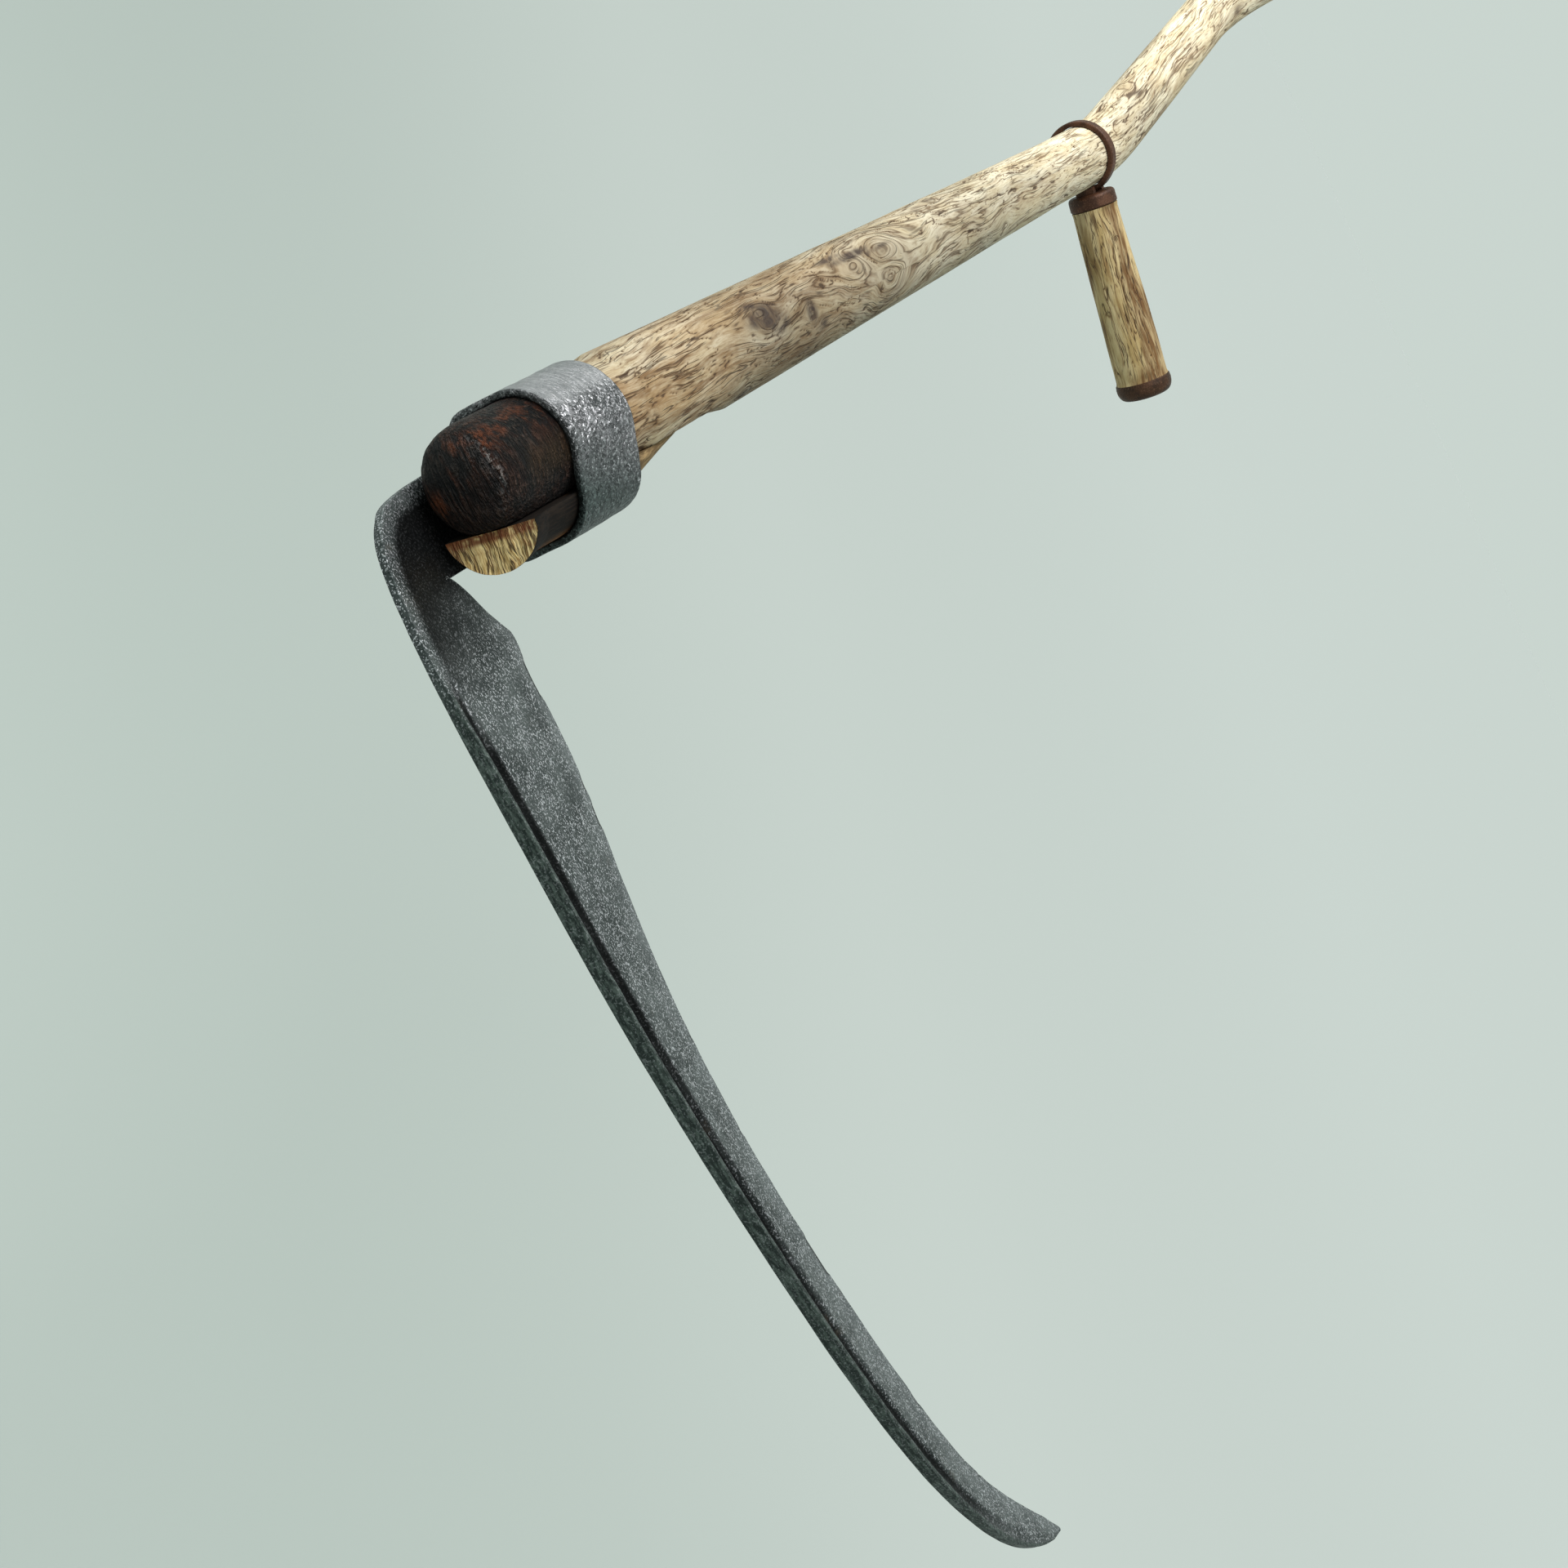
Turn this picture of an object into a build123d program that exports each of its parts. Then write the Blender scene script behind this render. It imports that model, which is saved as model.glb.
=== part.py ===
from build123d import *
import math
import os

# ---------------------------------------------------------------------------
# Hand scythe, right-handed, in its mowing pose.  Millimetres, +Z up.
# Origin: middle of the flat sole under the blade's heel, on the ground.
# The blade runs out along -X with its cutting edge towards -Y (the mower);
# the snath (the long wooden pole) rises from the blade's heel towards -Y.
# ---------------------------------------------------------------------------

# --- how the snath lies over the blade --------------------------------------
HANG_DEG = 13.9            # snath's heading, from -Y towards the blade side
LIFT_DEG = 15.7            # snath's rise above the plane of the blade
HEAD = (12.5, -73.4, 38.1)  # snath axis at the front rim of the heel ring

# --- snath ------------------------------------------------------------------
SEAT_R = 23.35             # round seat under the ring
FOOT_A = -43.5             # rounded foot end, ahead of the ring
SEAT_END_A = 56.0          # where the seat steps up to the full pole
BUTT_R = 25.5              # pole just behind the seat
FLAT_DIST = 19.6           # flat cut for the wedge, from the snath axis
FLAT_TILT = 10.0           # the flat faces the blade side, this much downward
FLAT_END_A = 123.0
NIB_R = 19.05              # pole under the lower nib
NIB_SEAT_A = 566.0         # start of the parallel stretch for the lower nib
NIB_A = 622.5              # lower nib, along the snath from the ring
KNEE1 = (-139.8, -684.3, 215.1)   # three bends of the pole's centre line
KNEE2 = (-135.1, -881.9, 308.1)
KNEE3 = (-164.3, -1004.6, 534.5)
TOP = (-184.2, -1289.4, 700.1)
KNEE1_R, KNEE2_R, KNEE3_R = 170.0, 110.0, 160.0
POLE_R2 = 17.6             # pole radius at the second bend
POLE_R3 = 16.6             # pole radius at the third bend and upper nib
TOP_R = 16.0               # turned top end of the pole
TOP_LEN = 50.0
UPPER_NIB_K = 100.0        # upper nib, past the third bend

# --- heel ring and wedge ----------------------------------------------------
RING_LEN, RING_T = 45.0, 3.6
BORE_R1 = 23.55            # bore round the snath
WEDGE_W, WEDGE_T = 38.0, 16.9   # wedge at the ring's front rim
BORE_BOTTOM = -28.5

# --- blade ------------------------------------------------------------------
TANG_TOP = -23.6           # top face of the tang, below the snath axis
TANG_T = 4.0
TANG_U0, TANG_U1 = -12.1, 29.0  # tang edges, across the snath
TANG_END_A = 64.0
KNOB_R, KNOB_H = 4.6, 9.0
KNOB_U, KNOB_A = 5.0, 52.0
BEND_R = 70.0
# rows along the blade: x, back edge y, cutting edge y, rib height, groove, hollow
BLADE = [
    (-4.0, 18.5, -25.5, 4.1, 0.15, 0.20),
    (-18.0, 23.9, -35.9, 4.5, 0.6, 0.20),
    (-32.0, 28.5, -43.9, 5.1, 1.2, 0.3),
    (-44.5, 32.2, -50.7, 5.7, 1.6, 0.8),
    (-51.0, 33.9, -49.2, 6.0, 1.9, 1.1),
    (-57.0, 35.5, -44.4, 6.3, 2.1, 1.5),
    (-66.0, 37.8, -42.0, 6.6, 2.2, 2.0),
    (-80.0, 41.4, -38.4, 6.9, 2.3, 2.7),
    (-97.0, 45.9, -32.6, 7.1, 2.4, 3.3),
    (-113.0, 50.0, -25.1, 7.2, 2.4, 3.7),
    (-128.0, 53.7, -16.8, 7.2, 2.4, 3.9),
    (-144.0, 57.6, -7.6, 7.2, 2.4, 4.0),
    (-160.0, 61.2, 1.4, 7.2, 2.4, 4.0),
    (-178.0, 64.7, 10.3, 7.2, 2.4, 4.0),
    (-195.0, 67.7, 18.0, 7.2, 2.4, 4.0),
    (-222.0, 71.9, 27.6, 7.2, 2.4, 4.0),
    (-255.0, 76.2, 36.0, 7.1, 2.3, 3.9),
    (-295.0, 80.4, 42.3, 7.0, 2.2, 3.8),
    (-340.0, 83.8, 46.8, 6.8, 2.0, 3.6),
    (-385.0, 84.6, 49.3, 6.5, 1.8, 3.3),
    (-425.0, 81.9, 49.3, 6.1, 1.6, 2.9),
    (-452.0, 77.0, 47.2, 5.7, 1.4, 2.5),
    (-478.0, 69.3, 41.3, 5.2, 1.1, 2.0),
    (-498.0, 60.8, 33.7, 4.7, 0.9, 1.5),
    (-515.0, 50.3, 26.0, 4.1, 0.7, 1.0),
    (-529.0, 38.9, 19.6, 3.4, 0.5, 0.5),
    (-540.5, 26.2, 14.9, 2.7, 0.3, 0.2),
    (-547.6, 14.6, 11.9, 2.1, 0.1, 0.20),
]

# --- nibs (side grips) ------------------------------------------------------
LOOP_GAP = 0.35            # loop to pole
LOOP_T, LOOP_W = 3.0, 7.3  # iron of the loop: radial, along the pole
SHANK_R = 4.0
NIB_DIP = 10.0             # grips point to the blade side, this much downward
COLLAR_Z0, COLLAR_Z1, COLLAR_R = 22.6, 31.5, 14.9
GRIP_R0, GRIP_R1 = 14.7, 17.1
GRIP_Z1 = 144.3
CAP_Z1, CAP_R = 155.3, 17.9

os.makedirs("parts", exist_ok=True)


def write(solid, name):
    solid.label = name
    export_step(solid, "parts/" + name + ".step")


# --- directions -------------------------------------------------------------
hang, lift = math.radians(HANG_DEG), math.radians(LIFT_DEG)
C0 = Vector(*HEAD)
S = Vector(-math.sin(hang) * math.cos(lift), -math.cos(hang) * math.cos(lift), math.sin(lift))


def cross_dirs(axis):
    """Across a rising pole: U level and to the blade side, V upward."""
    up = Vector(0, 0, 1)
    v = (up - axis * up.dot(axis)).normalized()
    return axis.cross(v), v


U, V = cross_dirs(S)
H = Vector(-math.sin(hang), -math.cos(hang), 0)


def across(a):
    """Cross-section plane of the snath at a: x = U, y = V."""
    return Plane(origin=C0 + S * a, x_dir=U, z_dir=S * -1)


def along_plane(origin, radial, axis):
    """Plane with x = radial and y = axis, for turned profiles."""
    return Plane(origin=origin, x_dir=radial, z_dir=radial.cross(axis))


# --- snath ------------------------------------------------------------------
K2, K3, K4 = Vector(*KNEE2), Vector(*KNEE3), Vector(*TOP)
knee1_a = (Vector(*KNEE1) - C0).dot(S)
K1 = C0 + S * knee1_a
D1, D2, D3 = (K2 - K1).normalized(), (K3 - K2).normalized(), (K4 - K3).normalized()
lead1 = KNEE1_R * math.tan(math.radians(S.get_angle(D1)) / 2)
lead2 = KNEE2_R * math.tan(math.radians(D1.get_angle(D2)) / 2)
lead3 = KNEE3_R * math.tan(math.radians(D2.get_angle(D3)) / 2)
flat_n = (U * math.cos(math.radians(FLAT_TILT)) - V * math.sin(math.radians(FLAT_TILT))).normalized()
flat_t = S.cross(flat_n)


def bend(knee, d_in, d_out, lead, radius, pole_r):
    """One bend of the pole: a round section swung about the bend's centre."""
    start = knee - d_in * lead
    axis_dir = d_in.cross(d_out).normalized()
    centre = start + axis_dir.cross(d_in).normalized() * radius
    with BuildSketch(Plane(origin=start, z_dir=d_in)) as section:
        Circle(pole_r)
    revolve(section.sketch, axis=Axis(centre, axis_dir), revolution_arc=d_in.get_angle(d_out))


def tapered(p0, r0, p1, r1):
    d = (p1 - p0).normalized()
    with BuildSketch(Plane(origin=p0, z_dir=d)) as near:
        Circle(r0)
    with BuildSketch(Plane(origin=p1, z_dir=d)) as far:
        Circle(r1)
    loft([near.sketch, far.sketch])


with BuildPart() as snath:
    with BuildSketch(along_plane(C0, U, S)):
        with BuildLine():
            Polyline((SEAT_R, -34.02), (SEAT_R, SEAT_END_A), (BUTT_R, SEAT_END_A + 10),
                     (NIB_R, NIB_SEAT_A), (NIB_R, knee1_a - lead1), (0, knee1_a - lead1),
                     (0, FOOT_A), (14.5, FOOT_A))
            ThreePointArc((14.5, FOOT_A), (21.13, -40.13), (SEAT_R, -34.02))
        make_face()
    revolve(axis=Axis(C0, S))
    bend(K1, S, D1, lead1, KNEE1_R, NIB_R)
    tapered(K1 + D1 * lead1, NIB_R, K2 - D1 * lead2, POLE_R2)
    bend(K2, D1, D2, lead2, KNEE2_R, POLE_R2)
    tapered(K2 + D2 * lead2, POLE_R2, K3 - D2 * lead3, POLE_R3)
    bend(K3, D2, D3, lead3, KNEE3_R, POLE_R3)
    tapered(K3 + D3 * lead3, POLE_R3, K3 + D3 * (UPPER_NIB_K + 48), POLE_R3)
    tapered(K3 + D3 * (UPPER_NIB_K + 48), POLE_R3, K4 - D3 * TOP_LEN, TOP_R)
    with BuildSketch(along_plane(K4, cross_dirs(D3)[0], D3)):
        Polygon((0, -TOP_LEN), (TOP_R, -TOP_LEN), (TOP_R, -2.5), (TOP_R - 2.5, 0), (0, 0), align=None)
    revolve(axis=Axis(K4, D3))
    # the flat that the wedge bears on, run out into the round of the pole
    with BuildSketch(along_plane(C0, flat_n, S)):
        Polygon((FLAT_DIST, -60), (FLAT_DIST, FLAT_END_A), (FLAT_DIST + 6, FLAT_END_A + 26),
                (60, FLAT_END_A + 26), (60, -60), align=None)
    extrude(amount=40, both=True, mode=Mode.SUBTRACT)
    # the underside is flatted where the tang lies against it
    with BuildSketch(along_plane(C0, V * -1, S)):
        Polygon((SEAT_R - 0.05, -60), (SEAT_R - 0.05, 68), (SEAT_R + 5, 76), (60, 76), (60, -60), align=None)
    extrude(amount=40, both=True, mode=Mode.SUBTRACT)
    # blind hole for the tang's knob, from the underside
    with BuildSketch(Plane(origin=C0 + S * KNOB_A + U * KNOB_U - V * 30, z_dir=V)):
        Circle(KNOB_R + 0.45)
    extrude(amount=30 + TANG_TOP + KNOB_H + 1.5, mode=Mode.SUBTRACT)
write(snath.part, "snath")


# --- heel ring --------------------------------------------------------------
# Bore: round the snath, round the wedge on the blade side, flat under the tang.
wedge_rr = ((WEDGE_W / 2) ** 2 + WEDGE_T ** 2) / (2 * WEDGE_T)     # radius of the wedge's back
wedge_cd = FLAT_DIST + WEDGE_T - wedge_rr                          # its centre, along the flat's normal
tilt = math.radians(FLAT_TILT)
c2 = (wedge_cd * math.cos(tilt), -wedge_cd * math.sin(tilt))
r2 = wedge_rr + 0.25
ang = -tilt + math.acos((BORE_R1 - r2) / wedge_cd)
t1 = (BORE_R1 * math.cos(ang), BORE_R1 * math.sin(ang))
t2 = (c2[0] + r2 * math.cos(ang), c2[1] + r2 * math.sin(ang))
right_x = c2[0] + r2


def on_circle(c, r, a):
    return (c[0] + r * math.cos(a), c[1] + r * math.sin(a))


with BuildPart() as ring:
    for grow, mode in ((RING_T, Mode.ADD), (0.0, Mode.SUBTRACT)):
        g = grow
        lo = BORE_BOTTOM - g
        lx, rx = -BORE_R1 - g, right_x + g
        rl, rr = 9.0 + g, 5.0 + g
        with BuildSketch(across(0)):
            with BuildLine():
                ThreePointArc((lx, 0), on_circle((0, 0), BORE_R1 + g, (math.pi + ang) / 2),
                              on_circle((0, 0), BORE_R1 + g, ang))
                Line(on_circle((0, 0), BORE_R1 + g, ang), on_circle(c2, r2 + g, ang))
                ThreePointArc(on_circle(c2, r2 + g, ang), on_circle(c2, r2 + g, ang / 2), (rx, c2[1]))
                Line((rx, c2[1]), (rx, lo + rr))
                ThreePointArc((rx, lo + rr), on_circle((rx - rr, lo + rr), rr, -math.pi / 4), (rx - rr, lo))
                Line((rx - rr, lo), (lx + rl, lo))
                ThreePointArc((lx + rl, lo), on_circle((lx + rl, lo + rl), rl, -3 * math.pi / 4), (lx, lo + rl))
                Line((lx, lo + rl), (lx, 0))
            make_face()
        extrude(amount=-RING_LEN, mode=mode)
    chamfer(ring.faces().filter_by(lambda f: abs(f.normal_at().dot(S)) > 0.99).edges(), length=0.7)
write(ring.part, "heel_ring")


# --- wedge ------------------------------------------------------------------
# D-shaped stake, flat side to the snath, thick end at the foot.
# rows: place along the snath, width, thickness, shift of its middle (down), flat top
WEDGE_ROWS = [(-54.0, 43.6, WEDGE_T + 2.6, -5.7, 0.35), (-20.0, WEDGE_W, WEDGE_T - 0.15, 0.0, 0.12),
              (0.0, WEDGE_W, WEDGE_T - 0.15, 0.0, 0.04), (45.0, 34.0, 13.6, -1.0, 0.25),
              (91.0, 7.0, 1.6, -8.0, 0.25)]
with BuildPart() as wedge:
    for a, w, th, drop, top in WEDGE_ROWS:
        with BuildSketch(Plane(origin=C0 + S * a + flat_n * (FLAT_DIST + 0.12) + flat_t * drop,
                               x_dir=flat_n, z_dir=S)):
            with BuildLine():
                Polyline((top * th, -w / 2), (0, -w / 2), (0, w / 2))
                ThreePointArc((0, w / 2), (th, -0.4 * top * w), (top * th, -w / 2))
            make_face()
    loft(ruled=True)
    # the driven end is cut a little askew
    split(bisect_by=Plane(origin=C0 + S * -39.5 + flat_n * 28, z_dir=(S + flat_t * 0.3).normalized()),
          keep=Keep.TOP)
write(wedge.part, "wedge")


# --- blade ------------------------------------------------------------------
def blade_row(x, yo, yi, rib, groove, hollow):
    """Cross-section of the blade at x, drawn as (y, z), from the rib round to the edge."""
    w = yo - yi
    k = min(1.0, w / 26.0)
    web_y = yi + min(10.0, 0.3 * w)
    lip = rib - 0.35 * k
    web_z = min(2.5, 0.9 + 0.55 * (lip - 0.9))
    return [(yo, 0), (yo, rib - 0.7 * k), (yo - 0.7 * k, rib), (yo - 2.6 * k, rib),
            (yo - 4.6 * k, rib - groove), (yo - 7.4 * k, rib - groove), (yo - 9.2 * k, lip),
            (web_y, web_z), (yi, 0.9), (yi, 0), (yo - 9.2 * k, hollow),
            (yo - 4.3 * k, hollow * 0.85), (yo - 3.4 * k, 0)]


# Tang and neck: a 4 mm strip, flat on the ground at the heel and bent up to
# the snath's lift, cut to its outline, with the knob standing on its far end.
hc = C0.dot(H)
bot = C0.Z + (TANG_TOP - TANG_T) * math.cos(lift)
bot_h = hc - (TANG_TOP - TANG_T) * math.sin(lift)
vertex_h = bot_h - bot / math.tan(lift)          # where the tang's underside meets the ground
end_h = bot_h + TANG_END_A * math.cos(lift)
end_z = bot + TANG_END_A * math.sin(lift)


def bend_arc(vertex, radius, z):
    """Start, middle and end of the bend, for the strip's face at height z."""
    t = radius * math.tan(lift / 2)
    a = (vertex - t, z)
    m = (vertex - t + radius * math.sin(lift / 2), z + radius * (1 - math.cos(lift / 2)))
    e = (vertex + t * math.cos(lift), z + t * math.sin(lift))
    return a, m, e


b0, bm, b1 = bend_arc(vertex_h, BEND_R, 0)
q0, qm, q1 = bend_arc(vertex_h - TANG_T * math.tan(lift / 2), BEND_R - TANG_T, TANG_T)
uc = C0.dot(U)


def plan(u_rel, h):
    p = U * (uc + u_rel) + H * h
    return (p.X, p.Y)


with BuildPart() as tang:
    with BuildSketch(Plane(origin=(0, 0, 0), x_dir=H, z_dir=U)):
        with BuildLine():
            Polyline((-60, TANG_T), (-60, 0), b0)
            ThreePointArc(b0, bm, b1)
            Polyline(b1, (end_h, end_z), (end_h - TANG_T * math.sin(lift), end_z + TANG_T * math.cos(lift)), q1)
            ThreePointArc(q1, qm, q0)
            Line(q0, (-60, TANG_T))
        make_face()
    extrude(amount=110, both=True)
    with BuildSketch(Plane.XY.offset(-5)):
        with BuildLine():
            l1 = Line(plan(TANG_U0, 190), plan(TANG_U0, 58))
            Spline(plan(TANG_U0, 58), (33.4, -23.5), (31.4, -8.8), (24.8, 2.2), (12.0, 11.3), (-4.0, 18.2),
                   tangents=[l1 % 1, (-0.93, 0.36)])
            Polyline((-4.0, 18.2), (-15.0, 21.5), (-25.0, -35.0), (-5.6, -24.5), plan(TANG_U1, 60),
                     plan(TANG_U1, 190), plan(TANG_U0, 190))
        make_face()
    extrude(amount=80, mode=Mode.INTERSECT)
    fillet(tang.edges().filter_by(lambda e: (e.center() - (C0 + S * TANG_END_A)).dot(S) > -1.0
                                  and abs(e.tangent_at(0.5).dot(V)) > 0.9), radius=8)
    with BuildSketch(Plane(origin=C0 + S * KNOB_A + U * KNOB_U + V * (TANG_TOP - 1), z_dir=V)):
        Circle(KNOB_R)
    extrude(amount=KNOB_H + 1)

with BuildPart() as blade:
    for row in BLADE:
        with BuildSketch(Plane(origin=(row[0], 0, 0), x_dir=(0, 1, 0), z_dir=(1, 0, 0))):
            Polygon(*blade_row(*row), align=None)
    loft(ruled=True)
    add(tang.part)
write(blade.part, "blade")


# --- nibs -------------------------------------------------------------------
def make_nib(name, centre, axis, pole_r):
    """One side grip: eyebolt round the pole, saddle collar, turned grip, and
    the square nut and washer under the iron cap that draw it tight."""
    nu, nv = cross_dirs(axis)
    dip = math.radians(NIB_DIP)
    g = (nu * math.cos(dip) - nv * math.sin(dip)).normalized()
    out = Plane(origin=centre, x_dir=axis, z_dir=g)          # z runs out along the grip
    loop_r = pole_r + LOOP_GAP
    turn = Axis(centre, g)

    with BuildPart() as eyebolt:
        with BuildSketch(Plane(origin=centre - axis * (LOOP_W / 2), x_dir=g, z_dir=axis)):
            Circle(loop_r + LOOP_T)
            Circle(loop_r, mode=Mode.SUBTRACT)
        extrude(amount=LOOP_W)
        fillet(eyebolt.edges().filter_by(GeomType.CIRCLE).filter_by(
            lambda e: abs(e.radius - loop_r - LOOP_T) < 0.01), radius=1.3)
        with BuildSketch(out.offset(loop_r + 1.2)):
            RectangleRounded(LOOP_W - 0.1, 12, 2.2)
        with BuildSketch(out.offset(COLLAR_Z0 + 0.6)):
            Circle(SHANK_R)
        loft()
        with BuildSketch(out.offset(COLLAR_Z0 + 0.6)):
            Circle(SHANK_R)
        extrude(amount=CAP_Z1 - 3.6 - COLLAR_Z0 - 0.6)
        chamfer(eyebolt.faces().sort_by(Axis(centre, g))[-1].edges(), length=0.8)
    write(eyebolt.part, name + "_eyebolt")

    with BuildPart() as collar:
        with BuildSketch(along_plane(centre, axis, g)):
            with BuildLine():
                Polyline((4.8, COLLAR_Z0), (COLLAR_R - 2.6, COLLAR_Z0))
                ThreePointArc((COLLAR_R - 2.6, COLLAR_Z0), (COLLAR_R - 0.75, COLLAR_Z0 + 0.78),
                              (COLLAR_R, COLLAR_Z0 + 2.6))
                Polyline((COLLAR_R, COLLAR_Z0 + 2.6), (COLLAR_R + 0.1, COLLAR_Z1 - 0.8),
                         (COLLAR_R - 0.6, COLLAR_Z1), (12.9, COLLAR_Z1), (12.9, COLLAR_Z0 + 3.8),
                         (4.8, COLLAR_Z0 + 3.8), (4.8, COLLAR_Z0))
            make_face()
        revolve(axis=turn)
        # two lugs, hollowed to sit on the pole either side of the loop
        with BuildSketch(out.offset(10)):
            with Locations((7.1, 0), (-7.1, 0)):
                Rectangle(3.8, 12)
        extrude(amount=COLLAR_Z0 + 1 - 10)
        with BuildSketch(Plane(origin=centre - axis * 30, z_dir=axis)):
            Circle(pole_r + 0.25)
        extrude(amount=60, mode=Mode.SUBTRACT)
    write(collar.part, name + "_collar")

    with BuildPart() as grip:
        with BuildSketch(along_plane(centre, axis, g)):
            with BuildLine():
                Polyline((4.5, COLLAR_Z0 + 4.4), (12.0, COLLAR_Z0 + 4.4), (12.6, COLLAR_Z0 + 5.2),
                         (12.6, COLLAR_Z1 + 0.35), (GRIP_R0, COLLAR_Z1 + 0.35))
                Spline((GRIP_R0, COLLAR_Z1 + 0.35), (15.5, 62), (16.3, 92), (16.9, 118), (GRIP_R1, GRIP_Z1))
                Polyline((GRIP_R1, GRIP_Z1), (15.6, GRIP_Z1), (15.6, GRIP_Z1 + 7), (4.5, GRIP_Z1 + 7),
                         (4.5, COLLAR_Z0 + 4.4))
            make_face()
        revolve(axis=turn)
        with BuildSketch(out.offset(GRIP_Z1 - 2)):
            Rectangle(12.6, 12.6)
        extrude(amount=12, mode=Mode.SUBTRACT)
    write(grip.part, name + "_grip")

    with BuildPart() as washer:
        with BuildSketch(out.offset(GRIP_Z1 - 2)):
            Rectangle(12.4, 12.4)
            Circle(SHANK_R + 0.4, mode=Mode.SUBTRACT)
        extrude(amount=1.5)
    write(washer.part, name + "_washer")

    with BuildPart() as nut:
        with BuildSketch(out.offset(GRIP_Z1 - 0.5)):
            Rectangle(12.4, 12.4)
            Circle(SHANK_R + 0.06, mode=Mode.SUBTRACT)
        extrude(amount=6.5)
    write(nut.part, name + "_nut")

    with BuildPart() as cap:
        with BuildSketch(along_plane(centre, axis, g)):
            with BuildLine():
                Polyline((0, CAP_Z1), (11.5, CAP_Z1))
                Spline((11.5, CAP_Z1), (15.8, CAP_Z1 - 1.4), (17.6, CAP_Z1 - 5.0), (CAP_R, CAP_Z1 - 8.0),
                       tangents=[(1, 0), (0.05, -1)])
                Polyline((CAP_R, CAP_Z1 - 8.0), (CAP_R - 0.3, GRIP_Z1 + 0.6), (CAP_R - 0.9, GRIP_Z1 + 0.05),
                         (15.7, GRIP_Z1 + 0.05), (15.7, GRIP_Z1 + 7.4), (13.6, CAP_Z1 - 2.4), (0, CAP_Z1 - 2.4),
                         (0, CAP_Z1))
            make_face()
        revolve(axis=turn)
    write(cap.part, name + "_end_cap")


make_nib("lower_nib", C0 + S * NIB_A, S, NIB_R)
make_nib("upper_nib", K3 + D3 * UPPER_NIB_K, D3, POLE_R3)

print("snath length mm", round(-FOOT_A + knee1_a + (K2 - K1).length + (K3 - K2).length + (K4 - K3).length, 1))
print("S", tuple(round(c, 5) for c in S), "U", tuple(round(c, 5) for c in U), "V", tuple(round(c, 5) for c in V))
print("D3", tuple(round(c, 5) for c in D3))
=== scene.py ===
import math
import bpy
import bmesh
import numpy as np
from mathutils import Matrix, Vector


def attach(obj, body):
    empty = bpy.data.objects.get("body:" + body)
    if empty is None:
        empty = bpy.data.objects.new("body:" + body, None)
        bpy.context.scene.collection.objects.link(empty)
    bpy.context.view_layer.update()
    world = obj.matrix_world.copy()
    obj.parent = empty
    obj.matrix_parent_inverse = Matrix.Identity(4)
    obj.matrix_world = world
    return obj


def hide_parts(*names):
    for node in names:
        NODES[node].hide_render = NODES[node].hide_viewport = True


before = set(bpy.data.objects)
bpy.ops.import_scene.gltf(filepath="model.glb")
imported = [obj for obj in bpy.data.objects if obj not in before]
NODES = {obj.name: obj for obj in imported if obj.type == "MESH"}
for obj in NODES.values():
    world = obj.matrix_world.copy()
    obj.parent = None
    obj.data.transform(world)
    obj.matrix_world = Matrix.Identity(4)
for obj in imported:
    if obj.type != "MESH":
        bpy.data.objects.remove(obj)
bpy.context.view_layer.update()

# ---------------------------------------------------------------------------
# Numbers shared with the CAD model, in millimetres
# ---------------------------------------------------------------------------
HANG, LIFT = math.radians(13.9), math.radians(15.7)
C0 = np.array([12.5, -73.4, 38.1])
S = np.array([-math.sin(HANG) * math.cos(LIFT), -math.cos(HANG) * math.cos(LIFT), math.sin(LIFT)])
VIEW_UP = np.array([0.76538, -0.52852, 0.36723])      # the way up in the picture


def unit(v):
    return v / np.linalg.norm(v)


def cross_dirs(axis):
    up = np.array([0.0, 0.0, 1.0])
    v = unit(up - axis * up.dot(axis))
    return np.cross(axis, v), v


U, V = cross_dirs(S)
H = np.array([-math.sin(HANG), -math.cos(HANG), 0.0])
SEAT_R, SEAT_END_A, BUTT_R = 23.35, 56.0, 25.5
FLAT_DIST, FLAT_TILT, FLAT_END_A = 19.6, math.radians(10.0), 123.0
NIB_R, NIB_SEAT_A, NIB_A = 19.05, 566.0, 622.5
K2 = np.array([-135.1, -881.9, 308.1])
K3 = np.array([-164.3, -1004.6, 534.5])
TOP = np.array([-184.2, -1289.4, 700.1])
KNEE1_A = (np.array([-139.8, -684.3, 215.1]) - C0).dot(S)
K1 = C0 + S * KNEE1_A
D1, D2, D3 = unit(K2 - K1), unit(K3 - K2), unit(TOP - K3)
KNEE_R = (170.0, 110.0, 160.0)
POLE_R2, POLE_R3, TOP_R, TOP_LEN = 17.6, 16.6, 16.0, 50.0
RING_LEN, RING_T, BORE_R1 = 45.0, 3.6, 23.55
WEDGE_W, WEDGE_T, BORE_BOTTOM = 38.0, 16.9, -28.5
TANG_TOP, TANG_T, TANG_U0, TANG_U1, TANG_END_A = -23.6, 4.0, -12.1, 29.0, 64.0
KNOB_R, KNOB_H, KNOB_U, KNOB_A, BEND_R = 4.6, 9.0, 5.0, 52.0, 70.0
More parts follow.
